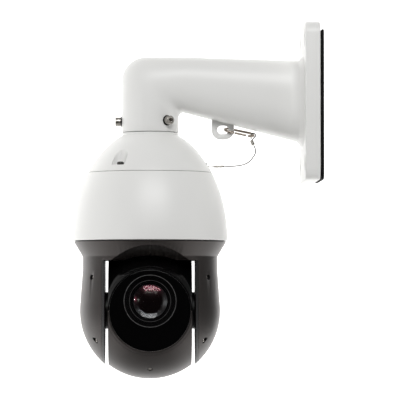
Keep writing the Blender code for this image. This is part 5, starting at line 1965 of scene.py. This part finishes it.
@dataclass
class Studio:
    """The camera, the soft light and the pale sweep that the object is seen against."""

    eye: Vector = field(default_factory=lambda: Vector((-0.177, -2.895, -0.195)))
    aim: Vector = field(default_factory=lambda: Vector((-0.1254, 0.0, -0.1019)))
    focal_length: float = 252.0
    sensor: float = 36.0
    wall_radiance: float = 0.95
    front_radiance: float = 0.02

    def place_camera(self) -> None:
        """Set up the camera."""
        data = bpy.data.cameras.new("studio_camera")
        data.lens = self.focal_length
        data.sensor_width = self.sensor
        camera = bpy.data.objects.new("studio_camera", data)
        camera.location = self.eye
        camera.rotation_euler = (self.aim - self.eye).to_track_quat("-Z", "Y").to_euler()
        bpy.context.scene.collection.objects.link(camera)
        bpy.context.scene.camera = camera

    def softbox(self, box: "Softbox") -> None:
        """Add one soft area light that points at the object.

        Args:
            box: where it stands, how big it is and how strong it is.
        """
        data = bpy.data.lights.new(box.name, "AREA")
        data.shape = "RECTANGLE"
        data.size, data.size_y = box.width, box.height
        data.energy = box.radiance * math.pi * box.width * box.height
        light = bpy.data.objects.new(box.name, data)
        azimuth, elevation = math.radians(box.azimuth), math.radians(box.elevation)
        towards = Vector((math.sin(azimuth) * math.cos(elevation),
                          -math.cos(azimuth) * math.cos(elevation), math.sin(elevation)))
        light.location = self.aim + towards * box.distance
        light.rotation_euler = towards.to_track_quat("Z", "Y").to_euler()
        bpy.context.scene.collection.objects.link(light)

    def light_room(self) -> None:
        """A white room that is dark behind the viewer, with softboxes."""
        world = bpy.data.worlds.new("studio_room")
        bpy.context.scene.world = world
        world.use_nodes = True
        bench = ShaderBench(world.node_tree)
        direction = bench.add("ShaderNodeTexCoord").outputs["Generated"]
        parts = bench.add("ShaderNodeSeparateXYZ", {0: direction})
        front = bench.math("MULTIPLY", parts.outputs["Y"], -1.0)
        open_side = bench.spread(front, 0.15, 0.75, self.wall_radiance, self.front_radiance)
        flag = bench.math("MULTIPLY", bench.spread(parts.outputs["X"], 0.30, 0.70, 0.0, 0.68),
                          bench.spread(parts.outputs["Z"], -0.50, -0.15, 0.0, 1.0))
        above = bench.spread(parts.outputs["Z"], 0.35, 0.90, 1.0, 0.45)
        strength = bench.math("MULTIPLY", bench.math("MULTIPLY", open_side, above),
                              bench.math("SUBTRACT", 1.0, flag))
        background = world.node_tree.nodes["Background"]
        background.inputs["Color"].default_value = (1.0, 0.995, 0.985, 1.0)
        world.node_tree.links.new(strength, background.inputs["Strength"])
        for box in SOFTBOXES:
            self.softbox(box)

    def build_sweep(self) -> None:
        """A pale floor that curves up into a backdrop, clear when seen from its reverse. It glows
        as painted light: dark in front of the camera, bright to the sides, behind and up the
        backdrop.
        """
        floor_z, front_y, back_y, radius, half, top = -0.80, -0.45, 1.5, 0.5, 3.0, 2.6
        profile = [(front_y, floor_z), (back_y - radius, floor_z)]
        profile += [(back_y - radius + radius * math.sin(a), floor_z + radius * (1 - math.cos(a)))
                    for a in (math.pi / 2 * i / 24 for i in range(1, 25))]
        profile += [(back_y, top)]
        wall_side = half * 0.35
        vertices = [Vector((x, y, z)) for y, z in profile for x in (-half, wall_side)]
        faces = [(2 * i, 2 * i + 1, 2 * i + 3, 2 * i + 2) for i in range(len(profile) - 1)]
        sweep = mesh_object("studio_sweep", vertices, faces)
        sweep.data.flip_normals()
        sweep.data.shade_smooth()
        material, bench, shader = new_material("pale_sweep")
        grain = bench.group("surface_grain", scale=60.0)
        colour = bench.mix(grain.outputs["Mottle"], (0.62, 0.62, 0.615, 1), (0.66, 0.66, 0.655, 1))
        place = bench.add("ShaderNodeSeparateXYZ",
                          {0: bench.add("ShaderNodeTexCoord").outputs["Object"]}).outputs
        # Painted light: emission strength by place, low before the camera and high to the sides,
        # towards the back and up the backdrop.
        aside = bench.math("ABSOLUTE", bench.math("SUBTRACT", place["X"], self.eye.x))
        painted_floor_light = bench.math("MAXIMUM", bench.spread(aside, 0.22, 0.66, 0.05, 1.45),
                               bench.spread(place["Y"], 0.15, 0.60, 0.05, 1.1))
        painted_sweep_glow = bench.math("MAXIMUM", painted_floor_light,
                          bench.spread(place["Z"], floor_z + 0.05, floor_z + 0.40, 0.05, 1.1))
        material.node_tree.links.new(colour, shader.inputs["Base Color"])
        shader.inputs["Roughness"].default_value = 0.9
        shader.inputs["Emission Color"].default_value = (1.0, 0.998, 0.99, 1.0)
        material.node_tree.links.new(painted_sweep_glow, shader.inputs["Emission Strength"])
        reverse = bench.add("ShaderNodeNewGeometry").outputs["Backfacing"]
        material.node_tree.links.new(bench.math("SUBTRACT", 1.0, reverse), shader.inputs["Alpha"])
        sweep.data.materials.append(material)

    def build(self) -> None:
        """Set up the whole studio."""
        self.place_camera()
        self.light_room()
        self.build_sweep()
        scene = bpy.context.scene
        scene.view_settings.view_transform = "Standard"


def main() -> None:
    """Build the studio and every sub-assembly."""
    logging.basicConfig(level=logging.INFO, format="%(name)s: %(message)s")
    paint = PaintShop()
    datum = Datum.from_frame(frame)
    Studio().build()
    for assembly in (SafetyLanyard(datum, paint), WallArm(datum, paint), UpperDome(datum, paint),
                     Yoke(datum, paint), BallHead(datum, paint), Optics(datum, paint),
                     Interior(datum, paint)):
        LOG.info("building %s", type(assembly).__name__)
        assembly.build()


if __name__ == "__main__":
    main()
